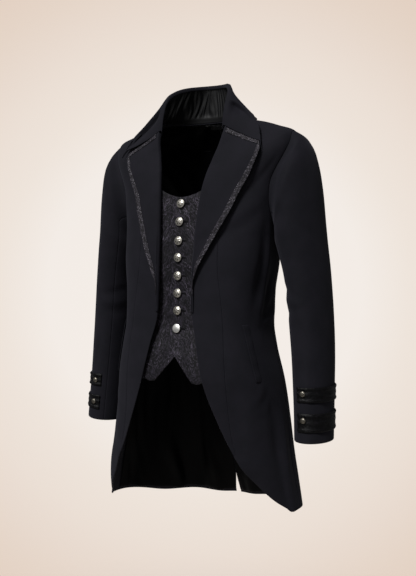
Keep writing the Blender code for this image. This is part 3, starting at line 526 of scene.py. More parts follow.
@dataclass(frozen=True)
class Finish:
    """A finish: its material's name, the record's slot and the last word of its pieces' names."""

    name: str
    slot: str = ""
    ending: str = ""

    def material(self) -> bpy.types.Material:
        """The finish's material, made the first time that it is asked for.

        Returns:
            The material.
        """
        made = bpy.data.materials.get(self.name)
        if not made:
            made = bpy.data.materials.new(self.name)
            made.use_nodes = True
            nodes = Nodes(made.node_tree)
            nodes.tree.nodes.clear()
            nodes.add("OutputMaterial", {"Surface": self.shade(nodes)})
        return made

    def shade(self, nodes: Nodes) -> Socket:
        """The finish's shader; each kind of finish gives its own."""
        raise NotImplementedError


@dataclass(frozen=True)
class WoolTwill(Finish):
    """Wool-look polyester twill, woven and pressed: matte near-black, with a faint diagonal wale and nap."""

    deep: str = "#121217"
    nap: str = "#19181e"
    roughness: float = 0.80
    sheen: float = 0.05
    wale: float = 2.2 * MM
    nap_patch: float = 38.0 * MM
    relief: float = 0.10 * MM

    def shade(self, nodes: Nodes) -> Socket:
        """The twill's shader. The real wale is 0.5 mm, so it is drawn four times as coarse to show at all.

        Args:
            nodes: the material's nodes.

        Returns:
            The shader.
        """
        cut = nodes.place("UV")
        patch = nodes.noise(nodes.place("Object"), 1 / self.nap_patch, 5.0, 0.6)
        wale = nodes.add("TexWave", {
            "Vector": cut, "Scale": math.tau / (10 * math.sqrt(2) * self.wale), "Distortion": 0.4,
            "Detail": 1.0, "Detail Scale": 4.0,
        }, "Fac", wave_type="BANDS", bands_direction="DIAGONAL")
        relief = nodes.sum("ADD", wale, nodes.noise(cut, 900.0, 3.0, 0.7))
        return nodes.surface(
            nodes.ramp(patch, (0.30, self.deep), (0.72, self.nap)),
            nodes.remap(patch, self.roughness - 0.06, self.roughness + 0.08),
            nodes.bump(relief, 0.45, self.relief),
            {"Sheen Weight": self.sheen, "Sheen Roughness": 0.55, "Sheen Tint": linear("#b9b9cc"),
             "IOR": 1.45, "Specular IOR Level": 0.12},
        )


@dataclass(frozen=True)
class LiningSatin(Finish):
    """Acetate satin, woven with long floats and pressed: near-black, and it catches light along each fold."""

    deep: str = "#030304"
    float_tone: str = "#08080b"
    roughness: float = 0.40
    float_width: float = 1.4 * MM
    shine: float = 0.48

    def shade(self, nodes: Nodes) -> Socket:
        """The satin's shader, with the floats drawn four times as wide as they are so that they show.

        Args:
            nodes: the material's nodes.

        Returns:
            The shader.
        """
        grain = nodes.add("Mapping", {
            "Vector": nodes.place("UV"), "Scale": (1 / self.float_width, 0.06 / self.float_width, 1.0),
        })
        floats = nodes.noise(grain, 1.0, 2.0)
        patch = nodes.noise(nodes.place("Object"), 22.0, 4.0)
        return nodes.surface(
            nodes.ramp(floats, (0.35, self.deep), (0.70, self.float_tone)),
            nodes.remap(patch, self.roughness - 0.05, self.roughness + 0.12),
            nodes.bump(floats, 0.25, 0.12 * MM),
            {"Sheen Weight": 0.01, "Sheen Roughness": 0.4, "IOR": 1.47, "Specular IOR Level": self.shine},
        )


@dataclass(frozen=True)
class ScrollBrocade(Finish):
    """Jacquard brocade, woven with a dull ground and raised satin scrolls: purple-grey with a sparkle."""

    ground: str = "#0b0a0e"
    scroll: str = "#302c36"
    glint: str = "#746c7b"
    roughness: float = 0.50
    motif: float = 14.0 * MM
    leaf: float = 5.0 * MM
    thread: float = 1.5 * MM
    relief: float = 0.35 * MM
    shine: float = 0.20
    sheen: float = 0.04
    patch: float = 46.0 * MM
    wear: float = 0.45
    scroll_line: tuple = (0.025, 0.060)
    leaf_edge: tuple = (0.22, 0.36)
    thread_edge: tuple = (0.40, 0.62)
    patch_edge: tuple = (0.36, 0.62)

    def shade(self, nodes: Nodes) -> Socket:
        """The brocade's shader: scrolls from bent noise lines, leaves from cells, and threads across both.

        Args:
            nodes: the material's nodes.

        Returns:
            The shader.
        """
        cut = nodes.place("UV")
        flow = nodes.noise(cut, 1 / self.motif, 1.0, bent=1.6)
        ridge = nodes.sum("ABSOLUTE", nodes.sum("SUBTRACT", flow, 0.5))
        scroll = nodes.remap(ridge, 1.0, 0.0, *self.scroll_line)
        spots = {"Vector": cut, "Scale": 1 / self.leaf, "Randomness": 0.75}
        cells = nodes.add("TexVoronoi", spots, "Distance")
        figure = nodes.sum("MAXIMUM", scroll, nodes.remap(cells, 0.8, 0.0, *self.leaf_edge))
        thread = nodes.noise(cut, 1 / self.thread, 2.0, 0.8)
        broken = nodes.remap(thread, 0.10, 1.0, *self.thread_edge)
        worn = nodes.remap(nodes.noise(cut, 1 / self.patch, 3.0, 0.6), self.wear, 1.0, *self.patch_edge)
        tone = nodes.sum("MULTIPLY", figure, nodes.sum("MULTIPLY", broken, worn))
        return nodes.surface(
            nodes.ramp(tone, (0.0, self.ground), (0.55, self.scroll), (1.0, self.glint)),
            nodes.remap(tone, self.roughness + 0.18, self.roughness - 0.14),
            nodes.bump(nodes.sum("ADD", figure, thread), 0.55, self.relief),
            {"Sheen Weight": self.sheen, "Sheen Roughness": 0.45, "Sheen Tint": linear("#cfc8d6"),
             "IOR": 1.48, "Specular IOR Level": self.shine},
        )


@dataclass(frozen=True)
class PlatedButton(Finish):
    """Die-cast zinc with antiqued silver plate, rubbed bright on its relief: warm grey with dark hollows."""

    bright: str = "#dcd8ce"
    patina: str = "#4c4841"
    roughness: float = 0.30
    aged: float = 1.0

    def shade(self, nodes: Nodes) -> Socket:
        """The plate's shader. The mesh says how deep each place lies under the button's relief.

        Args:
            nodes: the material's nodes.

        Returns:
            The shader.
        """
        hollow = nodes.add("Attribute", out="Fac", attribute_name="hollow", attribute_type="GEOMETRY")
        smudge = nodes.noise(nodes.place("Object"), 420.0, 4.0)
        uneven = nodes.sum("MULTIPLY_ADD", smudge, 0.5 * self.aged, -0.25 * self.aged)
        age = nodes.sum("MULTIPLY_ADD", hollow, self.aged, uneven, clamped=True)
        return nodes.surface(
            nodes.ramp(age, (0.15, self.bright), (0.95, self.patina)),
            nodes.remap(age, self.roughness, self.roughness + 0.25),
            nodes.bump(smudge, 0.15, 0.05 * MM), {"Metallic": 1.0},
        )


@dataclass(frozen=True)
class WovenTape(Finish):
    """Polyester tape, woven with a cross rib: dull black with fine lines across it."""

    deep: str = "#0c0c0e"
    rib_tone: str = "#18181c"
    roughness: float = 0.62
    rib: float = 0.6 * MM

    def shade(self, nodes: Nodes) -> Socket:
        """The tape's shader. The real rib is 0.2 mm, so it is drawn three times as coarse to show at all.

        Args:
            nodes: the material's nodes.

        Returns:
            The shader.
        """
        ribs = nodes.add("TexWave", {
            "Vector": nodes.place("UV"), "Scale": math.tau / (20 * self.rib), "Distortion": 0.5,
            "Detail": 1.0,
        }, "Fac", wave_type="BANDS", bands_direction="Y")
        return nodes.surface(
            nodes.ramp(ribs, (0.2, self.deep), (0.9, self.rib_tone)), self.roughness,
            nodes.bump(ribs, 0.5, 0.15 * MM), {"Sheen Weight": 0.08, "IOR": 1.5, "Specular IOR Level": 0.35},
        )


@dataclass(frozen=True)
class StudioPaint(Finish):
    """Matte floor paint, rolled on: pale and warm with a faint mottle, and it fades to the floor's rim."""

    tones: tuple = ("#d9d2cb", "#ddd6cf")
    fade: float = 0.45
    rim: float = 1.5

    def shade(self, nodes: Nodes) -> Socket:
        """The paint's shader, clear at the rim.

        Args:
            nodes: the material's nodes.

        Returns:
            The shader.
        """
        place = nodes.place("Object")
        level = nodes.add("VectorMath", {0: place, 1: (1, 1, 0)}, operation="MULTIPLY")
        reach = nodes.add("VectorMath", {0: level}, "Value", operation="LENGTH")
        fade = nodes.add("MapRange", {
            "Value": reach, "From Min": self.fade, "From Max": self.rim,
        }, interpolation_type="SMOOTHSTEP")
        tone = nodes.ramp(nodes.noise(place, 3.0, 3.0), (0.0, self.tones[0]), (1.0, self.tones[1]))
        matte = nodes.add("BsdfPrincipled", {"Base Color": tone, "Roughness": 0.9, "Specular IOR Level": 0.1})
        return nodes.add("MixShader", {0: fade, 1: matte, 2: nodes.add("BsdfTransparent")})


TWILL = WoolTwill("wool_look_twill_pressed", "coat_twill", "cloth")
SATIN = LiningSatin("acetate_satin_pressed", "satin", "satin")
# The lining is the stand's satin made darker still: partly the lining's own near-black, partly painted shade
# for the inside of the coat, where little light reaches.
LINING_SATIN_PAINTED_SHADE = LiningSatin(
    "acetate_satin_lining", "satin", "satin", deep="#010102", float_tone="#030304", roughness=0.34,
    shine=0.04,
)
BROCADE = ScrollBrocade("jacquard_brocade_woven", "brocade", "brocade")
TRIM_BROCADE = ScrollBrocade(
    "jacquard_brocade_edging", "brocade", "brocade", ground="#121014", scroll="#3f3b44", glint="#9a959d",
    motif=9.0 * MM, leaf=4.2 * MM, thread=2.1 * MM, wear=0.6,
)
STRAP_BROCADE = ScrollBrocade(
    "jacquard_brocade_cuff", "brocade", "brocade", ground="#020203", scroll="#09080a", glint="#2d2b31",
    motif=9.0 * MM, leaf=4.5 * MM, roughness=0.34, shine=0.16, sheen=0.0,
)
SILVER = PlatedButton("zinc_silver_plated_antiqued", "antique_silver", "cast")
BRIGHT_SILVER = PlatedButton(
    "zinc_silver_plated_polished", "antique_silver", "cast", bright="#fbfaf6", patina="#b9b5ad",
    roughness=0.38, aged=0.15,
)
DULL_SILVER = PlatedButton(
    "zinc_silver_plated_darkened", "antique_silver", "cast", bright="#8a857b", patina="#1f1d1a",
    roughness=0.36,
)
TAPE = WovenTape("polyester_tape_woven", "label_tape", "tape")
PAINT = StudioPaint("matte_studio_paint")


def add_object(name: str, data: bpy.types.ID, finish: Finish | None = None) -> bpy.types.Object:
    """Puts a mesh, a lamp or a camera into the scene.

    Args:
        name: the object's name.
        data: what it shows.
        finish: the finish of a mesh.

    Returns:
        The object.
    """
    thing = bpy.data.objects.new(name, data)
    bpy.context.scene.collection.objects.link(thing)
    if finish:
        data.materials.append(finish.material())
    return thing


def mesh_of(name: str, shape: bmesh.types.BMesh) -> bpy.types.Mesh:
    """Makes a mesh of a working shape, which is freed.

    Args:
        name: the mesh's name.
        shape: the working shape.

    Returns:
        The mesh.
    """
    mesh = bpy.data.meshes.new(name)
    shape.to_mesh(mesh)
    shape.free()
    return mesh


class Held(Enum):
    """How a piece of cloth is held."""

    HUNG = "hung"
    GATHERED = "gathered"
    LAID = "laid"
    FOLDED = "folded"
    STRETCHED = "stretched"


@dataclass
class Workroom:
    """Turns grids of points into closed cloth pieces and attaches each one to the coat's root."""

    edge_line: float = 1.5 * MM
    edge_sink: float = 0.16
    edge_bulge: float = 0.25
    least_cut: float = 10.2 * MM
    area_limits: tuple = (0.301, 0.995)
    made: list[str] = field(default_factory=list)

    def refine_edge(self, grid: np.ndarray, extra: np.ndarray) -> tuple[np.ndarray, np.ndarray]:
        """Adds a line of points close inside each edge, so that only the edge itself is rounded.

        Args:
            grid: rows and columns of points.
            extra: a vector for each point, carried along.

        Returns:
            The finer grid and its vectors.
        """
        for _ in range(2):
            for _ in range(2):
                gap = np.linalg.norm(grid[1] - grid[0], axis=-1, keepdims=True)
                share = np.minimum(0.4, self.edge_line / np.maximum(gap, 1e-9))
                line = grid[0] + (grid[1] - grid[0]) * share
                facing = unit(extra[0] + (extra[1] - extra[0]) * share)
                grid = np.concatenate([grid[:1], line[None], grid[1:]])[::-1]
                extra = np.concatenate([extra[:1], facing[None], extra[1:]])[::-1]
            grid, extra = np.swapaxes(grid, 0, 1), np.swapaxes(extra, 0, 1)
        return grid, extra

    def sew(
        self, node: str, points: np.ndarray, facing: np.ndarray, wall: float, finish: Finish,
        held: Held = Held.HUNG, rests_on: tuple = (), inset: float = 0.0,
    ) -> None:
        """Args:
            node: the solid that it stands for, whose name the piece's name starts with.
            points: its outer face, as rows and columns of points.
            facing: the way out of the cloth at each point.
            wall: the cloth's thickness.
            finish: its finish.
            held: how it is held; not used.
            rests_on: what it lies on; not used.
            inset: how far its first and last columns are drawn in, to leave a seam.
        """
        points = points.copy()
        if inset:
            first, last = unit(points[:, 1] - points[:, 0]), unit(points[:, -2] - points[:, -1])
            points[:, 0] += first * inset
            points[:, -1] += last * inset
        points, facing = self.refine_edge(points, facing)
        name = f"{node}_{finish.ending}"
        mesh = self.shell(name, points, facing, wall)
        piece = self.keep(name, mesh, finish, node)
        wide_way, long_way = self.cut_size(points)
        least, most = (share * wide_way * long_way for share in self.area_limits)
        area = min(max(self.area(points), least), most)
        log.info("%s: cut %.0f x %.0f mm, %d points", name, wide_way / MM, long_way / MM, len(mesh.vertices))

    def keep(self, name: str, mesh: bpy.types.Mesh, finish: Finish, node: str = "") -> bpy.types.Object:
        """Makes a piece of a mesh, rides it on the coat and hides the solid that it stands for.

        Args:
            name: the piece's name.
            mesh: its mesh.
            finish: its finish.
            node: the solid that it stands for, where it has one.

        Returns:
            The piece.
        """
        mesh.shade_smooth()
        piece = add_object(name, mesh, finish)
        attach(piece, "root")
        if node:
            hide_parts(node)
        self.made.append(name)
        return piece

    def cut_size(self, points: np.ndarray) -> tuple[float, float]:
        """The size of a grid laid flat.

        Args:
            points: the grid.

        Returns:
            Its widest row and longest column in metres, and no less than the least cut that is stated.
        """
        wide = np.linalg.norm(np.diff(points, axis=1), axis=-1).sum(axis=1).max()
        tall = np.linalg.norm(np.diff(points, axis=0), axis=-1).sum(axis=0).max()
        return max(float(wide), self.least_cut), max(float(tall), self.least_cut)

    @staticmethod
    def area(points: np.ndarray) -> float:
        """The area of a grid.

        Args:
            points: the grid.

        Returns:
            Its area in square metres.
        """
        a = points[1:, 1:] - points[:-1, :-1]
        b = points[1:, :-1] - points[:-1, 1:]
        return float(np.linalg.norm(np.cross(a, b), axis=-1).sum() / 2)

    def shell(self, name: str, points: np.ndarray, facing: np.ndarray, wall: float) -> bpy.types.Mesh:
        """A closed mesh with an outer face, an inner face and a rounded edge all round.

        Args:
            name: the mesh's name.
            points: the outer face.
            facing: the way out at each point.
            wall: the thickness.

        Returns:
            The mesh, smooth, with its layout in metres as UVs.
        """
        rows, columns = points.shape[:2]
        ring = [(0, j) for j in range(columns - 1)] + [(i, columns - 1) for i in range(rows - 1)]
        ring += [(rows - 1, j) for j in range(columns - 1, 0, -1)] + [(i, 0) for i in range(rows - 1, 0, -1)]
        i, j = np.array(ring).T
        outer, inner = points.copy(), points - facing * wall
        sink = facing[i, j] * wall * self.edge_sink
        outer[i, j] -= sink
        inner[i, j] += sink
        away = points[i, j] - points[np.clip(i, 1, rows - 2), np.clip(j, 1, columns - 2)]
        away -= facing[i, j] * (away * facing[i, j]).sum(axis=-1, keepdims=True)
        middle = (outer[i, j] + inner[i, j]) / 2 + unit(away) * wall * self.edge_bulge
        verts = np.concatenate([outer.reshape(-1, 3), inner.reshape(-1, 3), middle])
        layer = rows * columns
        index = np.arange(layer).reshape(rows, columns)
        quads = np.stack([index[:-1, :-1], index[:-1, 1:], index[1:, 1:], index[1:, :-1]], axis=-1)
        quads = quads.reshape(-1, 4)
        start, end = index[i, j], np.roll(index[i, j], -1)
        rim = 2 * layer + np.arange(len(ring))
        rim_end = np.roll(rim, -1)
        faces = np.concatenate([
            quads, quads[:, ::-1] + layer,
            np.stack([end, start, rim, rim_end], axis=-1),
            np.stack([rim_end, rim, start + layer, end + layer], axis=-1),
        ])
        middle_row, middle_column = rows // 2, columns // 2
        normal = np.cross(points[middle_row, middle_column] - points[middle_row, middle_column - 1],
                          points[middle_row, middle_column] - points[middle_row - 1, middle_column])
        if normal @ facing[middle_row, middle_column] < 0:
            faces = faces[:, ::-1]
        mesh = bpy.data.meshes.new(name)
        mesh.from_pydata(verts.tolist(), [], faces.tolist())
        mesh.shade_smooth()
        self.lay_out(mesh, points, np.concatenate([index.ravel(), index.ravel(), index[i, j]]))
        return mesh

    @staticmethod
    def lay_out(mesh: bpy.types.Mesh, points: np.ndarray, source: np.ndarray) -> None:
        """Gives a mesh UVs in metres from the lengths along its grid.

        Args:
            mesh: the mesh.
            points: its grid.
            source: for each vertex, the grid's point that it comes from.
        """
        wide = np.linalg.norm(np.diff(points, axis=1), axis=-1).cumsum(axis=1)
        wide = np.concatenate([np.zeros((points.shape[0], 1)), wide], axis=1)
        wide -= wide[:, points.shape[1] // 2:points.shape[1] // 2 + 1]
        tall = np.linalg.norm(np.diff(points, axis=0), axis=-1).cumsum(axis=0)
        tall = np.concatenate([np.zeros((1, points.shape[1])), tall])
        flat = np.stack([wide.ravel(), tall.ravel()], axis=-1)[source]
        corners = np.empty(len(mesh.loops), dtype=np.int64)
        mesh.loops.foreach_get("vertex_index", corners)
        layer = mesh.uv_layers.new(name="cut")
        layer.data.foreach_set("uv", flat[corners].ravel().astype(np.float32))


@dataclass
class Sewn:
    """A sub-assembly that is cut to the body surface and sewn in the workroom."""

    form: CoatForm
    room: Workroom


@dataclass
class CoatBody(Sewn):
    """The body: fronts, side fronts, backs and the linings of the back and tails."""

    wall: float = 2.0 * MM
    lining_wall: float = 1.2 * MM
    layer_gap: float = 0.8 * MM
    seam: float = 0.55 * MM
    lining_seam: float = 2.0 * MM
    front_tip: float = 13.6
    vent_level: float = 5.0
    vent_half: float = 0.6 * CM
    vent_curve: float = 6.0
    lining_level: float = 0.3
    lining_fold: float = 5.0 * MM
    lining_past: float = 6.0 * MM
    tail_fold: float = 8.0 * MM
    tail_fold_level: float = 24.0
    neck_fold: float = 0.6 * MM
    neck_fold_level: float = 60.0
    front_columns: int = 18
    side_columns: int = 26
    back_columns: int = 34

    def build(self) -> None:
        """Builds every panel of both sides."""
        form = self.form
        for side in Side:
            levels = form.panel_levels(self.front_tip)
            edges = form.front_edge(levels), form.princess(levels)
            self.panel(f"front_{side.word}", side, levels, edges, self.front_columns)
            levels = form.panel_levels(0.0)
            seam = np.where(levels < self.front_tip - 0.01, form.front_edge(levels), form.princess(levels))
            edges = seam, form.side_limit(levels, form.armhole_front)
            self.panel(f"side_front_{side.word}", side, levels, edges, self.side_columns)
            edges = form.side_limit(levels, form.armhole_back), np.full_like(levels, 90.0)
            back = self.panel(f"back_{side.word}", side, levels, edges, self.back_columns, self.vent_half)
            self.lining(side, levels, *back)

    def panel(
        self, node: str, side: Side, levels: np.ndarray, edges: tuple, count: int, parting: float = 0.0
    ) -> tuple[np.ndarray, np.ndarray]:
        """Builds a panel between two edges.

        Args:
            node: the solid that it stands for.
            side: its side of the coat.
            levels: the levels of its rows.
            edges: the angles of its two edges at those levels.
            count: how many columns it has.
            parting: how far its last column stands off the centre line at the hem, where the vent opens.

        Returns:
            Its outer face and the way out of the creased cloth there.
        """
        share = np.linspace(0, 1, count)
        angle = blend(edges[0][:, None], edges[1][:, None], share)
        level = np.repeat(levels[:, None], count, axis=1)
        points = self.form.place(level, angle, side=side)
        open_by = parting * ease(1 - levels / self.vent_level)
        points[..., 0] += side.value * open_by[:, None] * share ** self.vent_curve
        facing = towards(normals(points), self.form.outward(level, angle, side))
        self.room.sew(node, points, facing, self.wall, TWILL, inset=self.seam)
        return points, facing

    def lining(self, side: Side, levels: np.ndarray, points: np.ndarray, facing: np.ndarray) -> None:
        """Builds the satin lining, which hangs from the waist in uneven soft folds.

        Args:
            side: its side of the coat.
            levels: the levels of the back's rows.
            points: the back's outer face.
            facing: the way out there.
        """
        fine = 3 * (self.back_columns - 1) + 1
        new, rows, sign = np.linspace(0, 1, fine), levels[:, None], side.value
        out = unit(resample(facing, fine))
        # Each wave has its own count and start, so that no two folds are alike.
        drift = new * 31.0 + 0.9 * np.sin(rows * 0.13 + sign) + 0.5 * np.sin(rows * 0.31 + new * 9.0)
        swell = 0.5 + 0.5 * np.sin(drift + 1.3 * np.sin(new * 11.0 + sign))
        swell = swell * (0.55 + 0.45 * np.sin(new * 17.0 + rows * 0.07 + 2.0 * sign) ** 2)
        hang = ease(1.15 - rows / self.form.break_level) * swell * self.lining_fold
        fork = new * 19.0 + 1.2 * np.sin(rows * 0.21 + 2.0 * sign) * ease(1 - rows / 26.0)
        tail = np.maximum(np.sin(fork + sign), 0.0) ** 3 * (0.4 + 0.6 * np.sin(new * 7.0 - sign) ** 2)
        hang = hang + self.tail_fold * tail * ease(1.1 - rows / self.tail_fold_level) * ease((1 - new) / 0.06)
        neck = ease((rows - self.neck_fold_level) / 8.0) * (1 + np.sin(new * 23.0 + rows * 0.35))
        depth = self.wall + self.layer_gap + hang + self.neck_fold * neck
        lining = resample(points, fine) - out * depth[..., None]
        past = self.lining_past * ease((rows - self.form.armpit_level) / 2.0)
        lining[:, 0] -= unit(lining[:, 1] - lining[:, 0]) * past
        inside = levels >= self.lining_level
        # Its darker satin carries painted shade for the inside of the coat.
        self.room.sew(
            f"back_lining_{side.word}", lining[inside], out[inside], self.lining_wall, LINING_SATIN_PAINTED_SHADE,
            inset=self.lining_seam,
        )


@dataclass
class Lapel(Sewn):
    """A wide lapel, turned back at the roll line, with a brocade edging along its gorge and outer edge."""

    wall: float = 1.8 * MM
    trim_wall: float = 1.0 * MM
    trim_gap: float = 0.3 * MM
    trim_swell: float = 0.25 * MM
    corner_level: float = 78.6
    gorge_level: float = 92.4
    gorge_trim: float = 0.8
    trim_share: float = 0.55
    crown: float = 6.2 * MM
    rest: float = 4.4 * MM
    edge_rise: float = 6.0 * MM
    rise_length: float = 14.0
    end_level: float = 50.0
    end_size: float = 0.6
    inner_share: float = 5.0 / 6.0
    trim_start: float = 0.06
    trim_end: float = 0.10
    leaf_counts: tuple = (96, 22)
    trim_counts: tuple = (30, 90, 7)
    edge_rows: Table = Table(("level", "across"), (
        (43.0, 5.0), (48.0, 5.4), (52.0, 6.3), (56.0, 7.6), (60.1, 9.1), (64.2, 10.8), (67.8, 12.0),
        (74.1, 14.4), (81.5, 16.5), (93.4, 18.0),
    ))
    wider_rows: Table = Table(("level", "left", "right"), (
        (43.0, -0.4, -0.4), (46.5, -0.65, -0.65), (49.0, -0.95, -0.95), (51.4, -0.74, -0.6),
        (57.4, 0.5, -0.2), (63.2, 1.0, -0.6), (69.0, 1.05, -0.9), (79.7, 1.0, -0.7), (84.0, 0.6, -0.5),
        (93.4, 0.3, -0.3),
    ))
    trim_rows: Table = Table(("level", "left", "right"), (
        (43.0, 0.4, 0.4), (52.0, 0.9, 0.8), (61.0, 1.2, 1.0), (71.0, 1.15, 0.85), (80.2, 0.9, 0.6),
        (93.4, 0.8, 0.5),
    ))
    roll_rows: Table = Table(("along", "out", "facing"), (
        (7.0, -4.4, 180.0), (2.6, -5.0, 176.0), (-0.6, -4.4, 170.0), (-2.4, -3.0, 130.0), (-3.0, -0.8, 95.0),
        (-3.0, 1.6, 72.0), (-2.2, 3.4, 50.0), (-0.6, 4.9, 28.0), (1.6, 5.7, 12.0),
    ))

    def place(
        self, up: np.ndarray, share: np.ndarray, side: Side = Side.LEFT
    ) -> tuple[np.ndarray, np.ndarray, np.ndarray]:
        """Places on the lapel.

        Args:
            up: 0 at the break and 1 at the gorge.
            share: 0 at the roll line and 1 at the outer edge.
            side: the lapel's side.

        Returns:
            Their levels, angles and lifts.
        """
        level = blend(self.form.break_level, self.gorge(share), up)
        roll = self.form.front_edge_rows.read("across", level)
        outer = self.edge_rows.read("across", level) + self.wider_rows.read(side.word, level)
        trim = np.minimum(self.trim_rows.read(side.word, level), (outer - roll) * self.trim_share)
        inside = blend(roll, outer - trim, share / self.inner_share)
        edging = blend(outer - trim, outer, (share - self.inner_share) / (1 - self.inner_share))
        reach = np.where(share < self.inner_share, inside, edging)
        rise = self.edge_rise * share ** 3 * ease((level - self.form.break_level) / self.rise_length)
        lift = (self.rest + (self.crown - self.rest) * (1 - share) ** 2) * self.end(level) + rise
        return level, self.form.angle_at(level, reach), lift

    def end(self, level: np.ndarray) -> np.ndarray:
        """The size of the roll, which dwindles to the break."""
        share = (level - self.form.break_level) / (self.end_level - self.form.break_level)
        return blend(self.end_size, 1.0, ease(share))

    def gorge(self, share: np.ndarray) -> np.ndarray:
        """The level of the gorge, from the roll line to the corner."""
        return blend(self.gorge_level, self.corner_level, share)

    def trimmed(self, share: np.ndarray) -> np.ndarray:
        """How far up the lapel its gorge edging starts."""
        return 1 - self.gorge_trim / (self.gorge(share) - self.form.break_level)

    def build(self) -> None:
        """Builds both lapels and their edgings."""
        for side in Side:
            self.leaf(side)
            self.edging(side)

    def leaf(self, side: Side) -> None:
        """Builds the lapel's leaf with its roll over the front edge.

        Args:
            side: the lapel's side.
        """
        rows, columns = self.leaf_counts
        up, share = np.meshgrid(np.linspace(0, 1, rows), np.linspace(0, 1, columns)[1:], indexing="ij")
        level, angle, lift = self.place(up, share, side)
        flat = self.form.place(level, angle, lift, side)
        flat_out = self.form.outward(level, angle, side)
        roll_level = blend(self.form.break_level, self.gorge_level, up[:, 0])
        edge_angle = self.form.front_edge(roll_level)
        edge = self.form.place(roll_level, edge_angle, side=side)
        along, out = (across(v, side) for v in self.form.directions(roll_level, edge_angle))
        turned, turned_out = [], []
        size = self.end(roll_level)[:, None] * MM
        for shift, rise, degrees in self.roll_rows.rows:
            turn = math.radians(degrees)
            turned.append(edge + (along * shift + out * rise) * size)
            turned_out.append(out * math.cos(turn) - along * math.sin(turn))
        points = np.concatenate([np.stack(turned, axis=1), flat], axis=1)
        facing = np.concatenate([np.stack(turned_out, axis=1), flat_out], axis=1)
        front = f"front_{side.word}_cloth"
        self.room.sew(f"lapel_{side.word}", points, facing, self.wall, TWILL, Held.FOLDED, (front,))

    def edging(self, side: Side) -> None:
        """Builds the brocade strip: along the gorge, round the mitred corner and down the outer edge.

        Args:
            side: the lapel's side.
        """
        over_count, down_count, columns = self.trim_counts
        over = np.linspace(self.trim_start, 1, over_count)
        down = np.linspace(1, self.trim_end, down_count)[1:]
        outer_share = np.concatenate([over, np.ones_like(down)])
        outer_up = np.concatenate([np.ones_like(over), down])
        inner_share = outer_share * self.inner_share
        inner_share[:len(over)] = np.linspace(self.trim_start, self.inner_share, len(over))
        inner_up = outer_up * self.trimmed(inner_share)
        wide = np.linspace(0, 1, columns)
        share = blend(outer_share[:, None], inner_share[:, None], wide)
        up = blend(outer_up[:, None], inner_up[:, None], wide)
        level, angle, lift = self.place(up, share, side)
        raised = lift + self.trim_wall + self.trim_gap + self.trim_swell * np.sin(math.pi * wide)
        points = self.form.place(level, angle, raised, side)
        facing = self.form.outward(level, angle, side)
        name, leaf = f"lapel_trim_{side.word}", f"lapel_{side.word}_cloth"
        self.room.sew(name, points, facing, self.trim_wall, TRIM_BROCADE, Held.LAID, (leaf,))


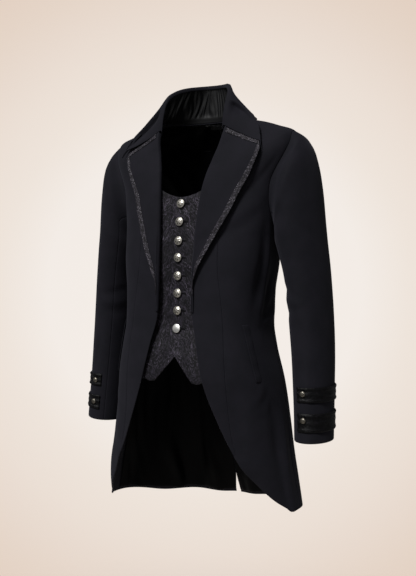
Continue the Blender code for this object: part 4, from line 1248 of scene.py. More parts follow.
@dataclass
class Collar(Sewn):
    """The high collar: a gathered satin stand and a fall that turns over it down to the lapels."""

    lapel: Lapel
    stand_wall: float = 2.2 * MM
    fall_wall: float = 2.2 * MM
    stations: int = 121
    columns: int = 26
    crowding: float = 1.8
    centre_y: float = -3.0 * CM
    seam_lift: float = 0.5 * MM
    top_drop: float = 3.2 * MM
    gather_depth: float = 2.1 * MM
    gathered_height: float = 5.0 * CM
    broad_gather: float = 2.1
    fine_gather: float = 0.95
    binding_share: float = 0.13
    binding_depth: float = 0.8 * MM
    fall_clearance: float = 1.4 * MM
    front_ends: float = 4.0
    edge_closer: float = 0.9
    step_width: float = 1.5
    slimmer: float = 4.0 * MM
    hollows: Table = Table(("side", "depth", "share", "spread", "reach"), (
        (1, 11.5, 0.26, 0.26, 5.0), (-1, 16.0, 0.46, 0.36, 6.0),
    ))
    step_rows: Table = Table(("share", "angle"), (
        (0.0, -7.5), (0.15, -6.0), (0.42, -6.4), (0.62, -9.0), (0.85, -12.0), (1.0, -13.0),
    ))
    gorge_gap: float = 2.0 * MM
    rows: Table = Table(
        ("angle", "roll_x", "roll_y", "roll_z", "edge_level", "edge_angle", "edge_lift", "hollow_out",
         "hollow_down"),
        (
            (-17.5, 8.35, -4.5, -0.9, 81.5, -38.0, 0.50, 0.62, 0.62),
            (-12.0, 8.25, -4.3, 1.6, 85.0, -27.0, 0.50, 0.80, 0.48),
            (-4.0, 8.0, -3.6, 4.6, 87.2, -13.0, 0.55, 0.80, 0.44),
            (8.0, 7.0, -1.9, 6.6, 88.4, 6.0, 0.60, 0.40, 0.70),
            (25.0, 5.3, 0.5, 7.7, 88.6, 28.0, 0.65, 0.40, 0.72),
            (45.0, 3.8, 2.7, 8.2, 88.8, 49.0, 0.70, 0.36, 0.74),
            (66.0, 2.1, 4.4, 8.5, 88.9, 69.0, 0.75, 0.32, 0.76),
            (90.0, 0.0, 5.1, 8.6, 89.0, 90.0, 0.75, 0.30, 0.76),
        ),
    )
    turn_rows: Table = Table(("walls", "inward", "up"), (
        (1.0, 0.6, -7.0), (1.0, 0.4, -4.0), (1.0, 0.2, -1.5), (0.7, 0.3, 0.4), (0.0, 0.5, 1.4),
        (-0.6, 0.4, 0.9),
    ))

    def read(self, name: str, angle: np.ndarray) -> np.ndarray:
        """A column of the collar table."""
        return self.rows.read(name, angle)

    @staticmethod
    def whole(left: np.ndarray, right: np.ndarray | None = None) -> np.ndarray:
        """A grid round the neck from the left front end to the right one, whose half is mirrored here."""
        right = left if right is None else right
        return np.concatenate([left, across(right[:-1][::-1], Side.RIGHT)], axis=0)

    def build(self) -> None:
        """Builds the stand and the fall."""
        first = self.rows.rows[0][0]
        angle = blend(first, 90.0, np.linspace(0, 1, self.stations) ** self.crowding)
        roll = np.stack([self.read(name, angle) for name in ("roll_x", "roll_y", "roll_z")], axis=-1) * CM
        seam = self.form.place(self.form.neck_level, angle, self.seam_lift, creased=False)
        outward = unit(np.stack([seam[:, 0], seam[:, 1] - self.centre_y, np.zeros_like(angle)], axis=-1))
        self.stand(seam, roll, outward)
        self.fall(angle, roll, outward)

    def stand(self, seam: np.ndarray, roll: np.ndarray, outward: np.ndarray) -> None:
        """Builds the stand, gathered between a smooth band at its foot and the roll line.

        Args:
            seam: the points of its foot.
            roll: the points of the roll line.
            outward: the way out at each station.
        """
        seam, roll, outward = (resample(values, 3 * self.stations) for values in (seam, roll, outward))
        outward = unit(outward)
        top = roll - UP * self.top_drop + outward * self.stand_wall / 2
        bottom = seam + outward * self.stand_wall / 2
        share = np.linspace(0, 1, self.columns)
        points = blend(bottom[:, None], top[:, None], share[:, None])
        height = np.linalg.norm(top - bottom, axis=1)[:, None]
        length = np.concatenate([[0.0], np.linalg.norm(np.diff(seam, axis=0), axis=1).cumsum()])[:, None]
        points, facing = self.whole(points), self.whole(np.repeat(outward[:, None], len(share), axis=1))
        height = np.concatenate([height, height[:-1][::-1]])
        length = np.concatenate([length - length[-1], length[-1] - length[:-1][::-1]]) / CM
        right = ease((length + 5.0) / 12.0)
        bend = 0.55 * np.sin(5.2 * share + 0.9 * length) * (0.4 + right)
        broad = np.sin(math.tau * (length + bend) / self.broad_gather + 0.8 * np.sin(length * 0.9))
        broad = broad * (0.75 - 0.35 * share)
        ripple = 1.1 * np.sin(length * 1.7 + 2.0 * share)
        fine = 0.30 * np.sin(math.tau * (length + 0.5 * bend) / self.fine_gather + ripple)
        gather = broad * right + fine * (1.1 - 0.5 * right)
        band = ease((share - self.binding_share) / 0.18) * ease((1.04 - share) / 0.30)
        binding = self.binding_depth * hill(share, self.binding_share, 0.045)
        depth = (self.gather_depth * band * gather - binding) * ease(height / self.gathered_height)
        points = points + facing * depth[..., None]
        self.room.sew("collar_stand", points, facing, self.stand_wall, SATIN, Held.GATHERED)

    def fall(self, angle: np.ndarray, roll: np.ndarray, outward: np.ndarray) -> None:
        """Builds the fall, from its turn inside the roll line to its edge on the shoulders.

        Args:
            angle: the stations' angles round the neck.
            roll: the points of the roll line.
            outward: the way out at each station.
        """
        lift = self.read("edge_lift", angle) * CM
        level = self.read("edge_level", angle) + self.edge_closer * ease((angle + 12.0) / 8.0)
        edge = self.form.place(level, self.read("edge_angle", angle), lift, creased=False)
        clear = self.stand_wall / 2 + self.fall_wall
        start = roll + outward * (clear + self.fall_clearance)
        bend = start + (edge - roll) * np.where(
            UP > 0, self.read("hollow_down", angle)[:, None], self.read("hollow_out", angle)[:, None]
        )
        share = np.linspace(0, 1, self.columns)
        t = share[None, :, None]
        free = start[:, None] * (1 - t) ** 2 + 2 * bend[:, None] * t * (1 - t) + edge[:, None] * t ** 2
        level, gorge_angle, gorge_lift = self.lapel.place(np.ones_like(share), share)
        gorge_out = self.form.outward(level, gorge_angle)
        gorge = self.form.place(level, gorge_angle, gorge_lift, creased=False)
        gorge = gorge + unit(np.cross(gorge_out, np.gradient(gorge, axis=0))) * self.gorge_gap
        near = ease((self.front_ends - angle) / (self.front_ends - angle[0]))[:, None, None]
        free = free + (gorge - free[0])[None] * near
        turned = np.stack([
            roll - outward * (walls * clear + inward * MM) + UP * rise * MM
            for walls, inward, rise in self.turn_rows.rows
        ], axis=1)
        points = np.concatenate([turned + (free[:, :1] - start[:, None]), free], axis=1)
        out = normals(points)
        out = out * np.sign((out[:, -1] * (edge - np.array([0, self.centre_y, edge[0, 2]]))).sum())
        leaf = slice(len(self.turn_rows.rows), None)
        halves, facings = [], []
        for side in Side:
            half = points.copy()
            half[:, leaf] += out[:, leaf] * self.layers(angle[:, None], share, side)[..., None]
            facing = normals(half)
            facing = facing * np.sign((facing * out).sum())
            facing[:, leaf] = unit(blend(facing[:, leaf], gorge_out[None], near ** 3))
            halves.append(half)
            facings.append(facing)
        self.room.sew(
            "collar_fall", self.whole(*halves), self.whole(*facings), self.fall_wall, TWILL, Held.FOLDED,
            ("collar_stand_satin",),
        )

    def layers(self, angle: np.ndarray, share: np.ndarray, side: Side) -> np.ndarray:
        """How far the fall's front leaf sinks behind its back part, and the back part lies closer.

        Args:
            angle: the stations' angles round the neck.
            share: 0 at the roll and 1 at the fall's edge.
            side: the side of the neck.

        Returns:
            Heights in metres, below 0.
        """
        depth, middle, spread, reach = next(row[1:] for row in self.hollows.rows if row[0] == side.value)
        step = self.step_rows.read("angle", share)
        under = 1 - ease((angle - step) / self.step_width + 0.5)
        hollow = under * hill(angle, step, reach) * hill(share, middle, spread)
        ends = ease(share / 0.14) * ease((1.0 - share) / 0.25) * ease((angle + 17.5) / 3.0)
        closer = self.slimmer * np.sin(math.pi * share) * ease((angle + 7.0) / 5.0)
        return -(depth * MM * hollow + closer) * ends


@dataclass
class Waistcoat(Sewn):
    """The mock waistcoat front, sewn in at the princess seams, its left front over its right."""

    wall: float = 1.8 * MM
    coat_wall: float = 2.0 * MM
    layer_gap: float = 0.5 * MM
    sewn_across: float = 11.0
    free_across: float = 7.0
    lap_across: float = 5.0
    overlap: float = 1.6
    seam_bottom: float = 28.4
    seam_top: float = 72.55
    placket_across: float = 3.05
    waist_level: float = 39.2
    button_step: float = 3.75
    rows: int = 112
    column_steps: tuple = (
        -1.6, -1.2, -0.8, -0.4, 0.0, 0.4, 0.8, 1.2, 1.6, 2.0, 2.4, 2.75, 2.95, 3.05, 3.15, 3.35, 3.7, 4.2,
        4.7, 5.1, 5.6, 6.0, 6.6, 7.3, 8.0, 8.8, 9.6, 10.3, 11.0,
    )
    hole_length: float = 15.0 * MM
    hole_offset: float = 4.0 * MM
    hole_radius: float = 0.75 * MM
    hole_half: float = 1.1 * MM
    hole_rise: float = 0.5 * MM
    hole_stitches: int = 40
    depth_rows: Table = Table(("level", "depth"), (
        (26.0, 0.9), (34.0, 1.1), (41.0, 1.45), (55.0, 0.95), (66.0, 0.75), (78.0, 0.75),
    ))
    edge_rows: Table = Table(("across", "bottom", "top"), (
        (-1.6, 35.9, 68.5), (0.0, 34.1, 68.4), (1.6, 32.2, 68.7), (3.1, 30.5, 69.3), (4.7, 28.6, 70.3),
        (6.0, 28.5, 71.3), (7.3, 28.8, 72.3),
    ))

    def build(self) -> None:
        """Builds both fronts."""
        steps = np.array(self.column_steps)
        known = [row[0] for row in self.edge_rows.rows] + [self.sewn_across]
        bottom = np.interp(steps, known, self.edge_rows.column("bottom") + [self.seam_bottom])
        top = smooth(known, self.edge_rows.column("top") + [self.seam_top], steps)
        share = np.linspace(0, 1, self.rows)[:, None]
        level = blend(bottom, top, share)
        seam = self.form.princess_rows.read("across", level)
        last = self.edge_rows.rows[-1][0]
        reach = np.where(steps > last, blend(last, seam, (steps - last) / (self.sewn_across - last)), steps)
        angle = self.form.angle_at(level, np.maximum(np.abs(reach), 0.002))
        mirror = np.where(steps < 0, -1.0, 1.0)[None, :, None] * ASIDE + (1.0 - ASIDE)
        sewn = self.coat_wall + self.layer_gap
        free = ease((self.sewn_across - steps) / (self.sewn_across - self.free_across))
        lift = -(sewn + (self.depth_rows.read("depth", level) * CM - sewn) * free)
        lap = ease((self.lap_across - steps) / (self.lap_across - self.overlap))
        for side in Side:
            under = 0.0 if side is Side.LEFT else -(self.wall + 2 * self.layer_gap)
            tailored = lift + under * lap + self.tailoring(steps, level, side)
            points = self.form.place(level, angle, tailored, creased=False, hung=False)
            points = self.form.hang(across(points * mirror, side))
            facing = self.form.outward(level, angle, side) * mirror
            self.room.sew(f"waistcoat_{side.word}", points, facing, self.wall, BROCADE)

    def tailoring(self, steps: np.ndarray, level: np.ndarray, side: Side) -> np.ndarray:
        """Heights of the placket line, the waist seam, the bound edges and soft pulls between the buttons.

        Args:
            steps: the columns' distances from the centre.
            level: the levels of the points.
            side: the front's side.

        Returns:
            Heights in metres.
        """
        placket = -0.9 * hill(steps, self.placket_across, 0.13)
        waist = -0.8 * hill(level, self.waist_level + 0.35 * np.sin(steps * 0.5), 0.28)
        edge = 0.45 * hill(steps, -self.overlap, 0.5)
        pulls = 0.55 * np.sin(level * math.tau / self.button_step + side.value) * hill(steps, 1.8, 1.9)
        soft = 0.8 * np.sin(level * 0.33 + steps * 0.8 + side.value) * ease((steps - 1.0) / 3.0)
        return (placket + waist + edge + pulls + soft) * MM * ease((self.sewn_across - steps) / 1.5)

    def surface(self, height: float) -> tuple[np.ndarray, np.ndarray, float]:
        """A place on the centre line of the waistcoat.

        Args:
            height: its Z, in centimetres.

        Returns:
            The point without the waistcoat's depth, the way out and the depth.
        """
        levels = np.linspace(self.seam_bottom, self.seam_top, 400)
        level = np.interp(height, self.form.ring("z_front", levels), levels)
        depth = float(self.depth_rows.read("depth", level)) * CM
        out = self.form.outward(np.array(level), np.array(-90.0))
        return self.form.place(level, -90.0, creased=False), out, depth

    def buttonholes(self, heights: list[float]) -> None:
        """Builds the worked buttonholes: a bar of thread round a slit beside each button.

        Args:
            heights: the buttons' heights, in centimetres.
        """
        shape = bmesh.new()
        for height in heights:
            place, out, depth = self.surface(height)
            place = place - out * (depth - self.hole_rise)
            for turn in math.tau * np.arange(self.hole_stitches) / self.hole_stitches:
                along = self.hole_offset + self.hole_length / 2 * (1 + math.cos(turn))
                middle = place + np.array([along, 0.02 * along, self.hole_half * math.sin(turn)])
                stitch = bmesh.ops.create_icosphere(shape, subdivisions=1, radius=self.hole_radius)
                bmesh.ops.translate(shape, verts=stitch["verts"], vec=Vector(middle))
        name = "waistcoat_buttonholes"
        self.room.keep(name, mesh_of(name, shape), BROCADE)


@dataclass
class Button:
    """A domed metal button on a shank, cast with a rope edge and a rosette."""

    room: Workroom
    segments: int = 48
    petals: int = 6
    rope: int = 24
    face_start: int = 6
    dome_start: int = 10
    dome_radius: float = 8.1
    dome_foot: float = 4.05
    dome_rise: float = 1.5
    cast_depth: float = 0.32
    plain_depth: float = 0.05
    spin: float = 0.4
    section: tuple = (
        (0.0, 0.0), (2.2, 0.0), (2.2, 1.7), (5.5, 1.75), (8.6, 1.95), (9.15, 2.3), (9.25, 2.9), (9.05, 3.5),
        (8.6, 3.95), (8.1, 4.05), (7.6, 3.95), (7.2, 4.15), (6.6, 4.65), (5.8, 5.15), (4.9, 5.55), (3.9, 5.9),
        (2.9, 6.1), (1.9, 6.25), (0.9, 6.3), (0.0, 6.3),
    )

    def relief(self, reach: float, turn: float) -> float:
        """The cast relief's height in millimetres, from -1 to 1 of its depth.

        Args:
            reach: the distance from the middle, in millimetres.
            turn: the angle round the button.

        Returns:
            The height, above 0 where the relief stands up.
        """
        if reach > 8.0:
            return 0.5 * math.sin(self.rope * turn + 2.2 * reach)
        bloom = math.cos(self.petals * turn) * math.exp(-((reach - 4.6) / 1.7) ** 2)
        heart = math.exp(-(reach / 1.5) ** 2) - 0.8 * math.exp(-((reach - 2.3) / 0.55) ** 2)
        return 0.8 * bloom + 0.7 * heart

    def build(
        self, node: str, place: np.ndarray, out: np.ndarray, finish: PlatedButton, scale: float = 1.0
    ) -> None:
        """Builds one button.

        Args:
            node: the solid that it stands for.
            place: the foot of its shank.
            out: the way out of the cloth.
            finish: its plating. The polished one is plain, without the relief.
            scale: its size.
        """
        plain = finish is BRIGHT_SILVER
        depth = self.plain_depth if plain else self.cast_depth
        turns = math.tau * np.arange(self.segments) / self.segments
        verts, hollow = [], []
        for k, (r, h) in enumerate(self.section):
            face = k >= self.face_start
            if plain and k >= self.dome_start:
                h = self.dome_foot + self.dome_rise * (1 - (r / self.dome_radius) ** 2)
            for turn in turns:
                rise = self.relief(r, turn) * depth if face else 0.0
                verts.append((r * math.cos(turn), r * math.sin(turn), h + rise))
                hollow.append(min(1.0, max(0.0, 0.45 - rise / max(depth, 0.1))) if face else 0.7)
        index = np.arange(len(verts)).reshape(-1, self.segments)
        after = np.roll(index, -1, axis=1)
        faces = np.stack([index[:-1], after[:-1], after[1:], index[1:]], axis=-1).reshape(-1, 4)
        name = f"{node}_{finish.ending}"
        mesh = bpy.data.meshes.new(name)
        mesh.from_pydata((np.array(verts) * scale * MM).tolist(), [], faces.tolist())
        mesh.attributes.new("hollow", "FLOAT", "POINT").data.foreach_set("value", hollow)
        shape = bmesh.new()
        shape.from_mesh(mesh)
        bmesh.ops.remove_doubles(shape, verts=shape.verts, dist=0.01 * MM)
        bmesh.ops.recalc_face_normals(shape, faces=shape.faces)
        shape.to_mesh(mesh)
        shape.free()
        aim = Vector(UP).rotation_difference(Vector(out)).to_matrix().to_4x4()
        spin = Matrix.Rotation(self.spin * len(self.room.made), 4, "Z")
        mesh.transform(Matrix.Translation(Vector(place)) @ aim @ spin)
        self.room.keep(name, mesh, finish, node)


@dataclass
class Sleeves(Sewn):
    """The two-piece sleeves, from the armhole to the open cuff."""

    wall: float = 2.0 * MM
    seam: float = 0.40 * MM
    first_ring: float = -15.5
    cap_end: float = -23.0
    last_ring: float = -66.5
    tube_rows: tuple = (16, 78)
    cuff_middle: tuple = (26.2 * CM, -0.9 * CM)
    cap_rows: int = 12
    top_columns: int = 52
    under_columns: int = 26
    head_gap: float = 0.3 * MM
    head_lift: float = 0.8
    right_tilt: float = 0.5
    tilt_top: float = -52.0
    front_seam: float = 126.0
    back_seam: float = 270.0
    rings: Table = Table(("z_mid", "rise", "x_mid", "half_x", "y_mid", "half_y"), (
        (-15.0, 10.25, 20.65, 2.7, 0.6, 6.9), (-16.45, 9.05, 21.45, 3.5, 0.6, 7.4),
        (-19.2, 6.95, 21.95, 4.15, 0.8, 7.4), (-22.85, 4.35, 22.3, 4.5, 0.85, 7.4),
        (-27.6, 2.2, 23.0, 4.45, 0.95, 7.05), (-33.0, 0.8, 23.85, 4.35, 1.1, 6.7),
        (-38.5, 0.2, 24.45, 4.3, 1.1, 6.4), (-44.0, 0.0, 24.9, 4.25, 1.0, 6.15),
        (-50.0, 0.0, 25.35, 4.1, 0.7, 5.9), (-55.4, 0.0, 25.65, 3.95, 0.25, 5.65),
        (-61.0, 0.0, 25.95, 3.8, -0.3, 5.45), (-66.5, 0.0, 26.2, 3.7, -0.9, 5.25),
    ))
    creases: Creases = Creases(cm_per_degree=0.095, gain=1.0, rows=(
        (1, -24.0, 62.0, 78.0, 6.0, 1.5, -1.6, 0.3), (1, -31.0, 30.0, 70.0, 5.5, 1.3, 1.2, 0.3),
        (1, -36.5, 128.0, 16.0, 3.6, 0.9, -2.4, 0.3), (1, -38.8, 118.0, 8.0, 3.4, 0.8, 1.8, 0.3),
        (1, -41.0, 132.0, -8.0, 3.0, 0.9, -2.0, 0.3), (1, -34.0, 196.0, 22.0, 4.0, 1.1, -2.4, 0.3),
        (1, -39.0, 212.0, 10.0, 3.6, 1.0, 2.0, 0.3), (1, -52.0, 96.0, 84.0, 4.6, 0.8, -1.6, 0.3),
        (1, -55.5, 78.0, 86.0, 2.4, 0.6, 1.0, 0.3), (1, -48.0, 10.0, 80.0, 8.0, 1.8, -1.0, 0.3),
        (1, -44.0, 262.0, 66.0, 6.0, 1.3, -1.8, 0.3), (1, -21.0, 300.0, 50.0, 5.0, 1.5, -1.8, 0.3),
        (1, -62.0, 20.0, 82.0, 3.0, 0.8, -0.6, 0.3), (-1, -23.0, 58.0, 74.0, 5.5, 1.4, -1.5, 0.3),
        (-1, -37.5, 124.0, 12.0, 3.6, 0.9, -2.2, 0.3), (-1, -40.0, 130.0, 4.0, 3.2, 0.8, 1.7, 0.3),
        (-1, -42.0, 118.0, -12.0, 3.0, 0.9, -1.8, 0.3), (-1, -33.0, 200.0, 18.0, 4.0, 1.1, -2.2, 0.3),
        (-1, -50.0, 90.0, 82.0, 5.0, 0.9, -1.4, 0.3), (-1, -46.0, 256.0, 70.0, 6.0, 1.3, -1.6, 0.3),
        (-1, -22.0, 296.0, 54.0, 5.0, 1.5, -1.7, 0.3), (-1, -30.0, 20.0, 76.0, 6.0, 1.4, 1.0, 0.3),
    ))

    def armhole(self, degrees: np.ndarray, side: Side) -> tuple[np.ndarray, np.ndarray]:
        """The armhole, by angle round the sleeve from its outer side through the front.

        Args:
            degrees: the angles.
            side: the sleeve's side, whose creases the edge has.

        Returns:
            Its points on the left half, and the way on over the armhole's edge at each.
        """
        form, turns = self.form, np.radians(degrees)
        level = form.armhole_level(turns)
        swing = np.where(np.sin(turns) > 0, form.armhole_front, form.armhole_back)
        angle = form.side_limit(level - 1e-7, swing)
        up = unit(form.bare(level + 0.3, angle) - form.bare(level - 0.3, angle))
        back = form.directions(level, angle)[0]
        edge = across(form.place(level, angle, side=side), side)
        return edge, unit(back * np.sin(turns)[:, None] - up * np.cos(turns)[:, None])

    def cap(self, head: np.ndarray, way: np.ndarray, tube: np.ndarray, degrees: np.ndarray) -> np.ndarray:
        """Rows of the sleeve head, which leaves the shoulder smoothly and turns down at the armpit.

        Args:
            head: the points on the armhole.
            way: the way on over its edge.
            tube: the rings below.
            degrees: the columns' angles.

        Returns:
            The rows, from the armhole down to just above the first ring.
        """
        top = (1 + np.cos(np.radians(degrees)))[:, None] / 2
        span = np.linalg.norm(tube[0] - head, axis=-1, keepdims=True)
        way = unit(way + self.head_lift * ASIDE * top)
        leave = way * span * (0.4 + 0.6 * top) + (tube[0] - head) * (1 - top) * 0.6
        arrive = unit(tube[2] - tube[0]) * span
        t = np.linspace(0, 1, self.cap_rows + 1)[:-1, None, None]
        return (head * (2 * t ** 3 - 3 * t ** 2 + 1) + leave * (t ** 3 - 2 * t ** 2 + t)
                + tube[0] * (3 * t ** 2 - 2 * t ** 3) + arrive * (t ** 3 - t ** 2))

    def ring(
        self, z: np.ndarray, degrees: np.ndarray, side: Side = Side.LEFT, lift: float = 0.0
    ) -> np.ndarray:
        """Points of a sleeve, on the left half.

        Args:
            z: the heights of the rings' middles, in centimetres.
            degrees: angles from the outer side through the front.
            side: the sleeve's side.
            lift: how far off the cloth, in centimetres.

        Returns:
            Points in metres.
        """
        heights = [row[0] for row in self.rings.rows[::-1]]
        rise, x_mid, half_x, y_mid, half_y = (
            smooth(heights, self.rings.column(name)[::-1], z) for name in self.rings.columns[1:]
        )
        turn = np.radians(degrees)
        if side is Side.RIGHT:
            rise = rise + self.right_tilt * ease((self.tilt_top - z) / 14.0)
        return np.stack([
            x_mid + (half_x + lift) * np.cos(turn),
            y_mid - (half_y + lift) * np.sin(turn),
            z + rise * np.cos(turn),
        ], axis=-1) * CM

    def build(self) -> None:
        """Builds the top and the under sleeve of both sides."""
        spans = {
            "top": (self.back_seam - 360.0, self.front_seam, self.top_columns),
            "under": (self.front_seam, self.back_seam, self.under_columns),
        }
        first, cap_end, last = self.first_ring, self.cap_end, self.last_ring
        upper_rows, lower_rows = self.tube_rows
        lower = np.linspace(cap_end, last, lower_rows)[1:]
        lower = np.concatenate([np.linspace(first, cap_end, upper_rows), lower])
        for side in Side:
            for piece, (start, end, count) in spans.items():
                degrees = np.linspace(start, end, count)
                tube = self.ring(lower[:, None], degrees[None], side)
                head, way = self.armhole(degrees, side)
                head = head + unit(tube[0] - head) * self.head_gap
                points = np.concatenate([self.cap(head, way, tube, degrees), tube])
                z = np.concatenate([np.full(self.cap_rows, first + 2.0), lower])[:, None]
                points = across(points, side)
                out = normals(points)
                out = out * self.sign_out(points, out)
                height = self.creases.height(z, degrees, side) * ease((first + 0.5 - z) / 2.5)
                points = points + out * height[..., None]
                facing = towards(normals(points), out)
                node = f"sleeve_{piece}_{side.word}"
                self.room.sew(node, points, facing, self.wall, TWILL, inset=self.seam)

    def sign_out(self, points: np.ndarray, normal: np.ndarray) -> float:
        """Which way a sleeve's normals point.

        Args:
            points: the sleeve's points.
            normal: the normals there.

        Returns:
            1 where they point away from the sleeve's middle, and -1 where they point to it.
        """
        low = points[-1]
        middle = np.array([math.copysign(self.cuff_middle[0], low[0, 0]), self.cuff_middle[1], 0.0])
        away = (low - middle) * np.array([1.0, 1.0, 0.0])
        return float(np.sign((normal[-1] * away).sum()))


@dataclass
class CuffStraps(Sewn):
    """Two brocade straps round each cuff, folded in three ridges and held with a button in front."""

    sleeves: Sleeves
    button: Button
    wall: float = 1.6 * MM
    layer_gap: float = 0.5 * MM
    front_angle: float = 108.0
    back_angle: float = -90.0
    button_scale: float = 0.62
    border_rise: float = 2.1
    middle_rise: float = 1.9
    sink: float = 0.6
    least_lift: float = 0.4 * MM
    columns: int = 96
    rows: int = 22
    button_seat: float = 0.6 * MM
    bands: Table = Table(("side", "low", "high", "button_z", "button_angle"), (
        (1, -58.5, -55.6, -56.8, 88.0), (1, -64.3, -60.7, -62.0, 88.0),
        (-1, -58.9, -56.3, -57.7, 90.0), (-1, -64.1, -61.1, -62.5, 90.0),
    ))

    def profile(self, share: np.ndarray, along: np.ndarray, phase: float) -> np.ndarray:
        """The height of the strap's folds: a raised border on each side and a sunk, creased middle.

        Args:
            share: 0 at the strap's lower edge and 1 at its upper one.
            along: 0 at its front end and 1 at its back end.
            phase: a number that makes each strap's creases its own.

        Returns:
            Heights in metres.
        """
        wander = 0.05 * np.sin(along * 9.0 + phase) + 0.03 * np.sin(along * 23.0 + 2.0 * phase)
        border = hill(share, 0.10, 0.10) + hill(share, 0.90 + 0.5 * wander, 0.10)
        middle = hill(share, 0.50 + wander, 0.11) * (0.7 + 0.3 * np.sin(along * 14.0 + phase))
        pleat = 0.5 * np.sin(along * 34.0 + 5.0 * share + phase) * hill(along, 0.30, 0.34)
        bunch = 0.8 * np.sin(share * 16.0 + phase) * hill(along, 0.86, 0.12)
        return (self.border_rise * border + self.middle_rise * middle + pleat + bunch - self.sink) * MM

    def build(self) -> None:
        """Builds the straps and their buttons."""
        along, share = np.linspace(0, 1, self.columns), np.linspace(0, 1, self.rows)[:, None]
        degrees = blend(self.front_angle, self.back_angle, along)
        ring, base = self.sleeves.ring, (self.wall + self.layer_gap) / CM
        for side in Side:
            bands = [row[1:] for row in self.bands.rows if row[0] == side.value]
            for k, (name, (low, high, *button)) in enumerate(zip(("upper", "lower"), bands)):
                z = blend(low, high, share)
                points = ring(z, degrees, side, base)
                out = unit(points - ring(z, degrees, side))
                lift = self.profile(share, along, 1.7 * k + 0.9 * side.value)
                creased = self.sleeves.creases.height(z, degrees, side)
                lift = np.maximum(lift * 0.75 + creased + self.least_lift, creased)
                points = points + out * lift[..., None]
                self.room.sew(
                    f"cuff_strap_{name}_{side.word}", across(points, side), across(out, side), self.wall,
                    STRAP_BROCADE, Held.STRETCHED, (f"sleeve_top_{side.word}_cloth",),
                )
                seat = ring(*np.array(button), side, base)
                out = unit(seat - ring(*np.array(button), side))
                place = across(seat + out * self.button_seat, side)
                node = f"cuff_button_{name}_{side.word}"
                self.button.build(node, place, across(out, side), DULL_SILVER, self.button_scale)


@dataclass
class PocketWelt(Sewn):
    """A slanted welt pocket: a narrow turned strip with its opening along the front edge."""

    wall: float = 1.8 * MM
    clearance: float = 0.9 * MM
    top: tuple = (14.3, 40.6)
    bottom: tuple = (16.9, 29.2)
    width: float = 1.5
    mouth_rise: float = 0.7 * MM
    back_sink: float = 1.6 * MM
    end_sink: float = 0.9 * MM
    ripple: float = 0.25 * MM
    rows: int = 46
    columns: int = 10

    def build(self) -> None:
        """Builds the welt of both sides."""
        down = np.linspace(0, 1, self.rows)[:, None]
        wide = np.linspace(0, 1, self.columns)[None]
        reach, line = (blend(top, bottom, down) for top, bottom in zip(self.top, self.bottom))
        start = self.form.angle_at(line, reach)
        step = self.form.place(line, start + 1, creased=False) - self.form.place(line, start, creased=False)
        angle = start + wide * self.width * CM / np.linalg.norm(step, axis=-1)
        level = line + 0 * wide
        ends = hill(down, 0.0, 0.05) + hill(down, 1.0, 0.05)
        mouth = self.mouth_rise * hill(wide, 0.0, 0.16) * (1 - ends)
        flat = -self.back_sink * ease((wide - 0.45) / 0.5) - self.end_sink * ends
        for side in Side:
            ripple = self.ripple * np.sin(down * 21.0 + side.value)
            lift = self.wall + self.clearance + mouth + flat + ripple
            points = self.form.place(level, angle, lift, side)
            facing = self.form.outward(level, angle, side)
            below = f"side_front_{side.word}_cloth"
            self.room.sew(f"pocket_welt_{side.word}", points, facing, self.wall, TWILL, Held.LAID, (below,))


@dataclass
class NeckPieces(Sewn):
    """The bare label and the hanger loop inside the back neck."""

    inside: float = -4.7 * MM
    label_half: float = 1.9
    label_levels: tuple = (90.2, 91.9)
    label_wall: float = 1.0 * MM
    loop_half: float = 3.0
    loop_levels: tuple = (92.3, 92.8)
    loop_wall: float = 1.4 * MM
    loop_sag: float = 1.2 * MM

    def strip(self, half_width: float, levels: np.ndarray, count: int) -> np.ndarray:
        """Points of a strip across the centre back, inside the lining.

        Args:
            half_width: half its width, in centimetres.
            levels: the levels of its rows.
            count: how many columns it has.

        Returns:
            The points, in metres.
        """
        ring = np.linspace(40.0, 90.0, 201)
        reach = np.linspace(-half_width, half_width, count) * CM
        rows = []
        for level in levels:
            line = self.form.place(level, ring, self.inside, creased=False)
            angle = np.interp(-np.abs(reach), -line[:, 0], ring)
            rows.append(self.form.place(level, angle, self.inside, creased=False))
            rows[-1][:, 0] = reach
        return np.stack(rows)

    def build(self) -> None:
        """Builds the label and the loop."""
        below = "back_lining_left_satin", "back_lining_right_satin"
        for node, half, levels, counts, sag, wall, finish in (
            ("neck_label", self.label_half, self.label_levels, (14, 26), 0.0, self.label_wall, TAPE),
            ("hanger_loop", self.loop_half, self.loop_levels, (6, 30), self.loop_sag, self.loop_wall, SATIN),
        ):
            points = self.strip(half, np.linspace(*levels, counts[0]), counts[1])
            points[..., 2] -= sag * (1 - np.linspace(-1, 1, counts[1]) ** 2)
            facing = np.broadcast_to(np.array([0.0, 1.0, 0.0]), points.shape)
            self.room.sew(node, points, facing, wall, finish, Held.LAID, below)


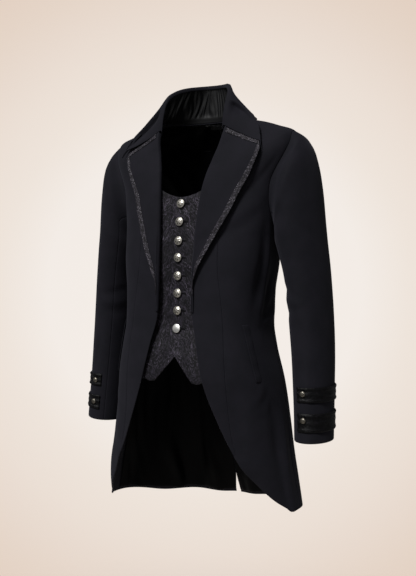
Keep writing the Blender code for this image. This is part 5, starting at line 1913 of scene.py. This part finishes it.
@dataclass
class Studio:
    """The pale floor, the soft light and the camera at the photograph's angle."""

    floor_z: float = -1.45
    floor_segments: int = 96
    surround: tuple = (
        (0.0, "#f5eee8"), (0.385, "#f3ece6"), (0.51, "#eee4db"), (0.62, "#ebdfd5"), (0.70, "#e8dacf"),
        (0.78, "#e5d5c8"), (0.85, "#e3d1c3"),
    )
    painted_light_pool_tilt: float = -0.037
    painted_light_pool_angle: float = 26.0
    surround_light: float = 0.17
    light_tone: str = "#f2f1f0"
    suns: Table = Table(("azimuth", "elevation", "strength", "angle"), (
        (-6.0, 49.0, 3.3, 14.0), (20.0, 22.0, 0.20, 40.0), (-70.0, 25.0, 0.12, 60.0),
    ))
    azimuth: float = 31.0
    distance: float = 1.90
    eye_height: float = -0.297
    focal_pixels: float = 868.0
    frame_pixels: tuple = (416, 576)
    aim_pixels: tuple = (205.5, 257.2)
    sensor: float = 24.0

    def build(self) -> None:
        """Builds floor, world, lights and camera."""
        self.floor()
        self.world()
        self.lights()
        self.camera()
        bpy.context.scene.view_settings.view_transform = "Standard"

    def floor(self) -> None:
        """A round of matte floor under the coat, which fades into the surround."""
        shape = bmesh.new()
        bmesh.ops.create_circle(shape, cap_ends=True, segments=self.floor_segments, radius=PAINT.rim)
        mesh = mesh_of("studio_floor", shape)
        mesh.transform(Matrix.Translation((0, 0, self.floor_z)))
        add_object("studio_floor", mesh, PAINT)

    def world(self) -> None:
        """A pale cream surround with a soft paler round in the middle of the backdrop, a painted pool of
        light.
        """
        world = bpy.data.worlds.new("studio_surround")
        bpy.context.scene.world = world
        world.use_nodes = True
        nodes = Nodes(world.node_tree)
        nodes.tree.nodes.clear()
        # The surround seen by the camera is palest round the line of sight and darker outwards: a painted
        # pool of light on the backdrop.
        turn = math.radians(self.azimuth)
        facing = nodes.add("VectorMath", {
            0: nodes.place("Generated"), 1: (-math.sin(turn), math.cos(turn), self.painted_light_pool_tilt),
        }, "Value", operation="DOT_PRODUCT")
        share = nodes.remap(nodes.sum("ARCCOSINE", facing), 0.0, 1.0, 0.0, math.radians(self.painted_light_pool_angle))
        seen = nodes.add("Background", {"Color": nodes.ramp(share, *self.surround), "Strength": 1.0})
        lit = nodes.add("Background", {"Color": linear(self.light_tone), "Strength": self.surround_light})
        mix = nodes.add("MixShader", {0: nodes.add("LightPath", out="Is Camera Ray"), 1: lit, 2: seen})
        nodes.add("OutputWorld", {"Surface": mix})

    def lights(self) -> None:
        """A broad soft key from the front, high up, and two weak fills."""
        for k, (azimuth, elevation, strength, angle) in enumerate(self.suns.rows):
            light = bpy.data.lights.new(f"softbox_{k + 1}", "SUN")
            light.energy, light.angle, light.color = strength, math.radians(angle), (1.0, 1.0, 1.0)
            lamp = add_object(light.name, light)
            lamp.rotation_euler = (math.radians(90 - elevation), 0, math.radians(azimuth))

    def camera(self) -> None:
        """The camera, level, at the photograph's angle and distance."""
        width, height = self.frame_pixels
        lens = bpy.data.cameras.new("photo_camera")
        lens.sensor_fit, lens.sensor_height = "VERTICAL", self.sensor
        lens.lens = self.focal_pixels / height * self.sensor
        lens.shift_x = (width / 2 - self.aim_pixels[0]) / height
        lens.shift_y = (self.aim_pixels[1] - height / 2) / height
        lens.clip_end = 200.0
        camera = add_object("photo_camera", lens)
        turn = math.radians(self.azimuth)
        camera.location = (self.distance * math.sin(turn), -self.distance * math.cos(turn), self.eye_height)
        camera.rotation_euler = (math.radians(90), 0, turn)
        bpy.context.scene.camera = camera


BUTTON_ROWS = Table(("height", "seat"), (
    (-18.4, 0.5), (-22.2, 0.5), (-26.2, 0.5), (-29.7, 0.5), (-33.5, 0.5), (-37.1, 0.7), (-40.7, 0.7),
    (-44.3, 1.1),
))


def main() -> None:
    """Builds the coat's pieces in order, then the studio."""
    logging.basicConfig(level=logging.INFO, format="%(message)s")
    form, room = CoatForm(), Workroom()
    CoatBody(form, room).build()
    lapel = Lapel(form, room)
    lapel.build()
    Collar(form, room, lapel).build()
    waistcoat = Waistcoat(form, room)
    waistcoat.build()
    button = Button(room)
    for k, (height, seat) in enumerate(BUTTON_ROWS.rows):
        place, out, depth = waistcoat.surface(height)
        finish = SILVER if k + 1 < len(BUTTON_ROWS.rows) else BRIGHT_SILVER
        button.build(f"waistcoat_button_{k + 1}", place + out * (seat * MM - depth), out, finish)
    waistcoat.buttonholes(BUTTON_ROWS.column("height"))
    sleeves = Sleeves(form, room)
    sleeves.build()
    CuffStraps(form, room, sleeves, button).build()
    PocketWelt(form, room).build()
    NeckPieces(form, room).build()
    log.info("%d pieces made", len(room.made))
    Studio().build()
    bpy.context.view_layer.update()


if __name__ == "__main__":
    main()
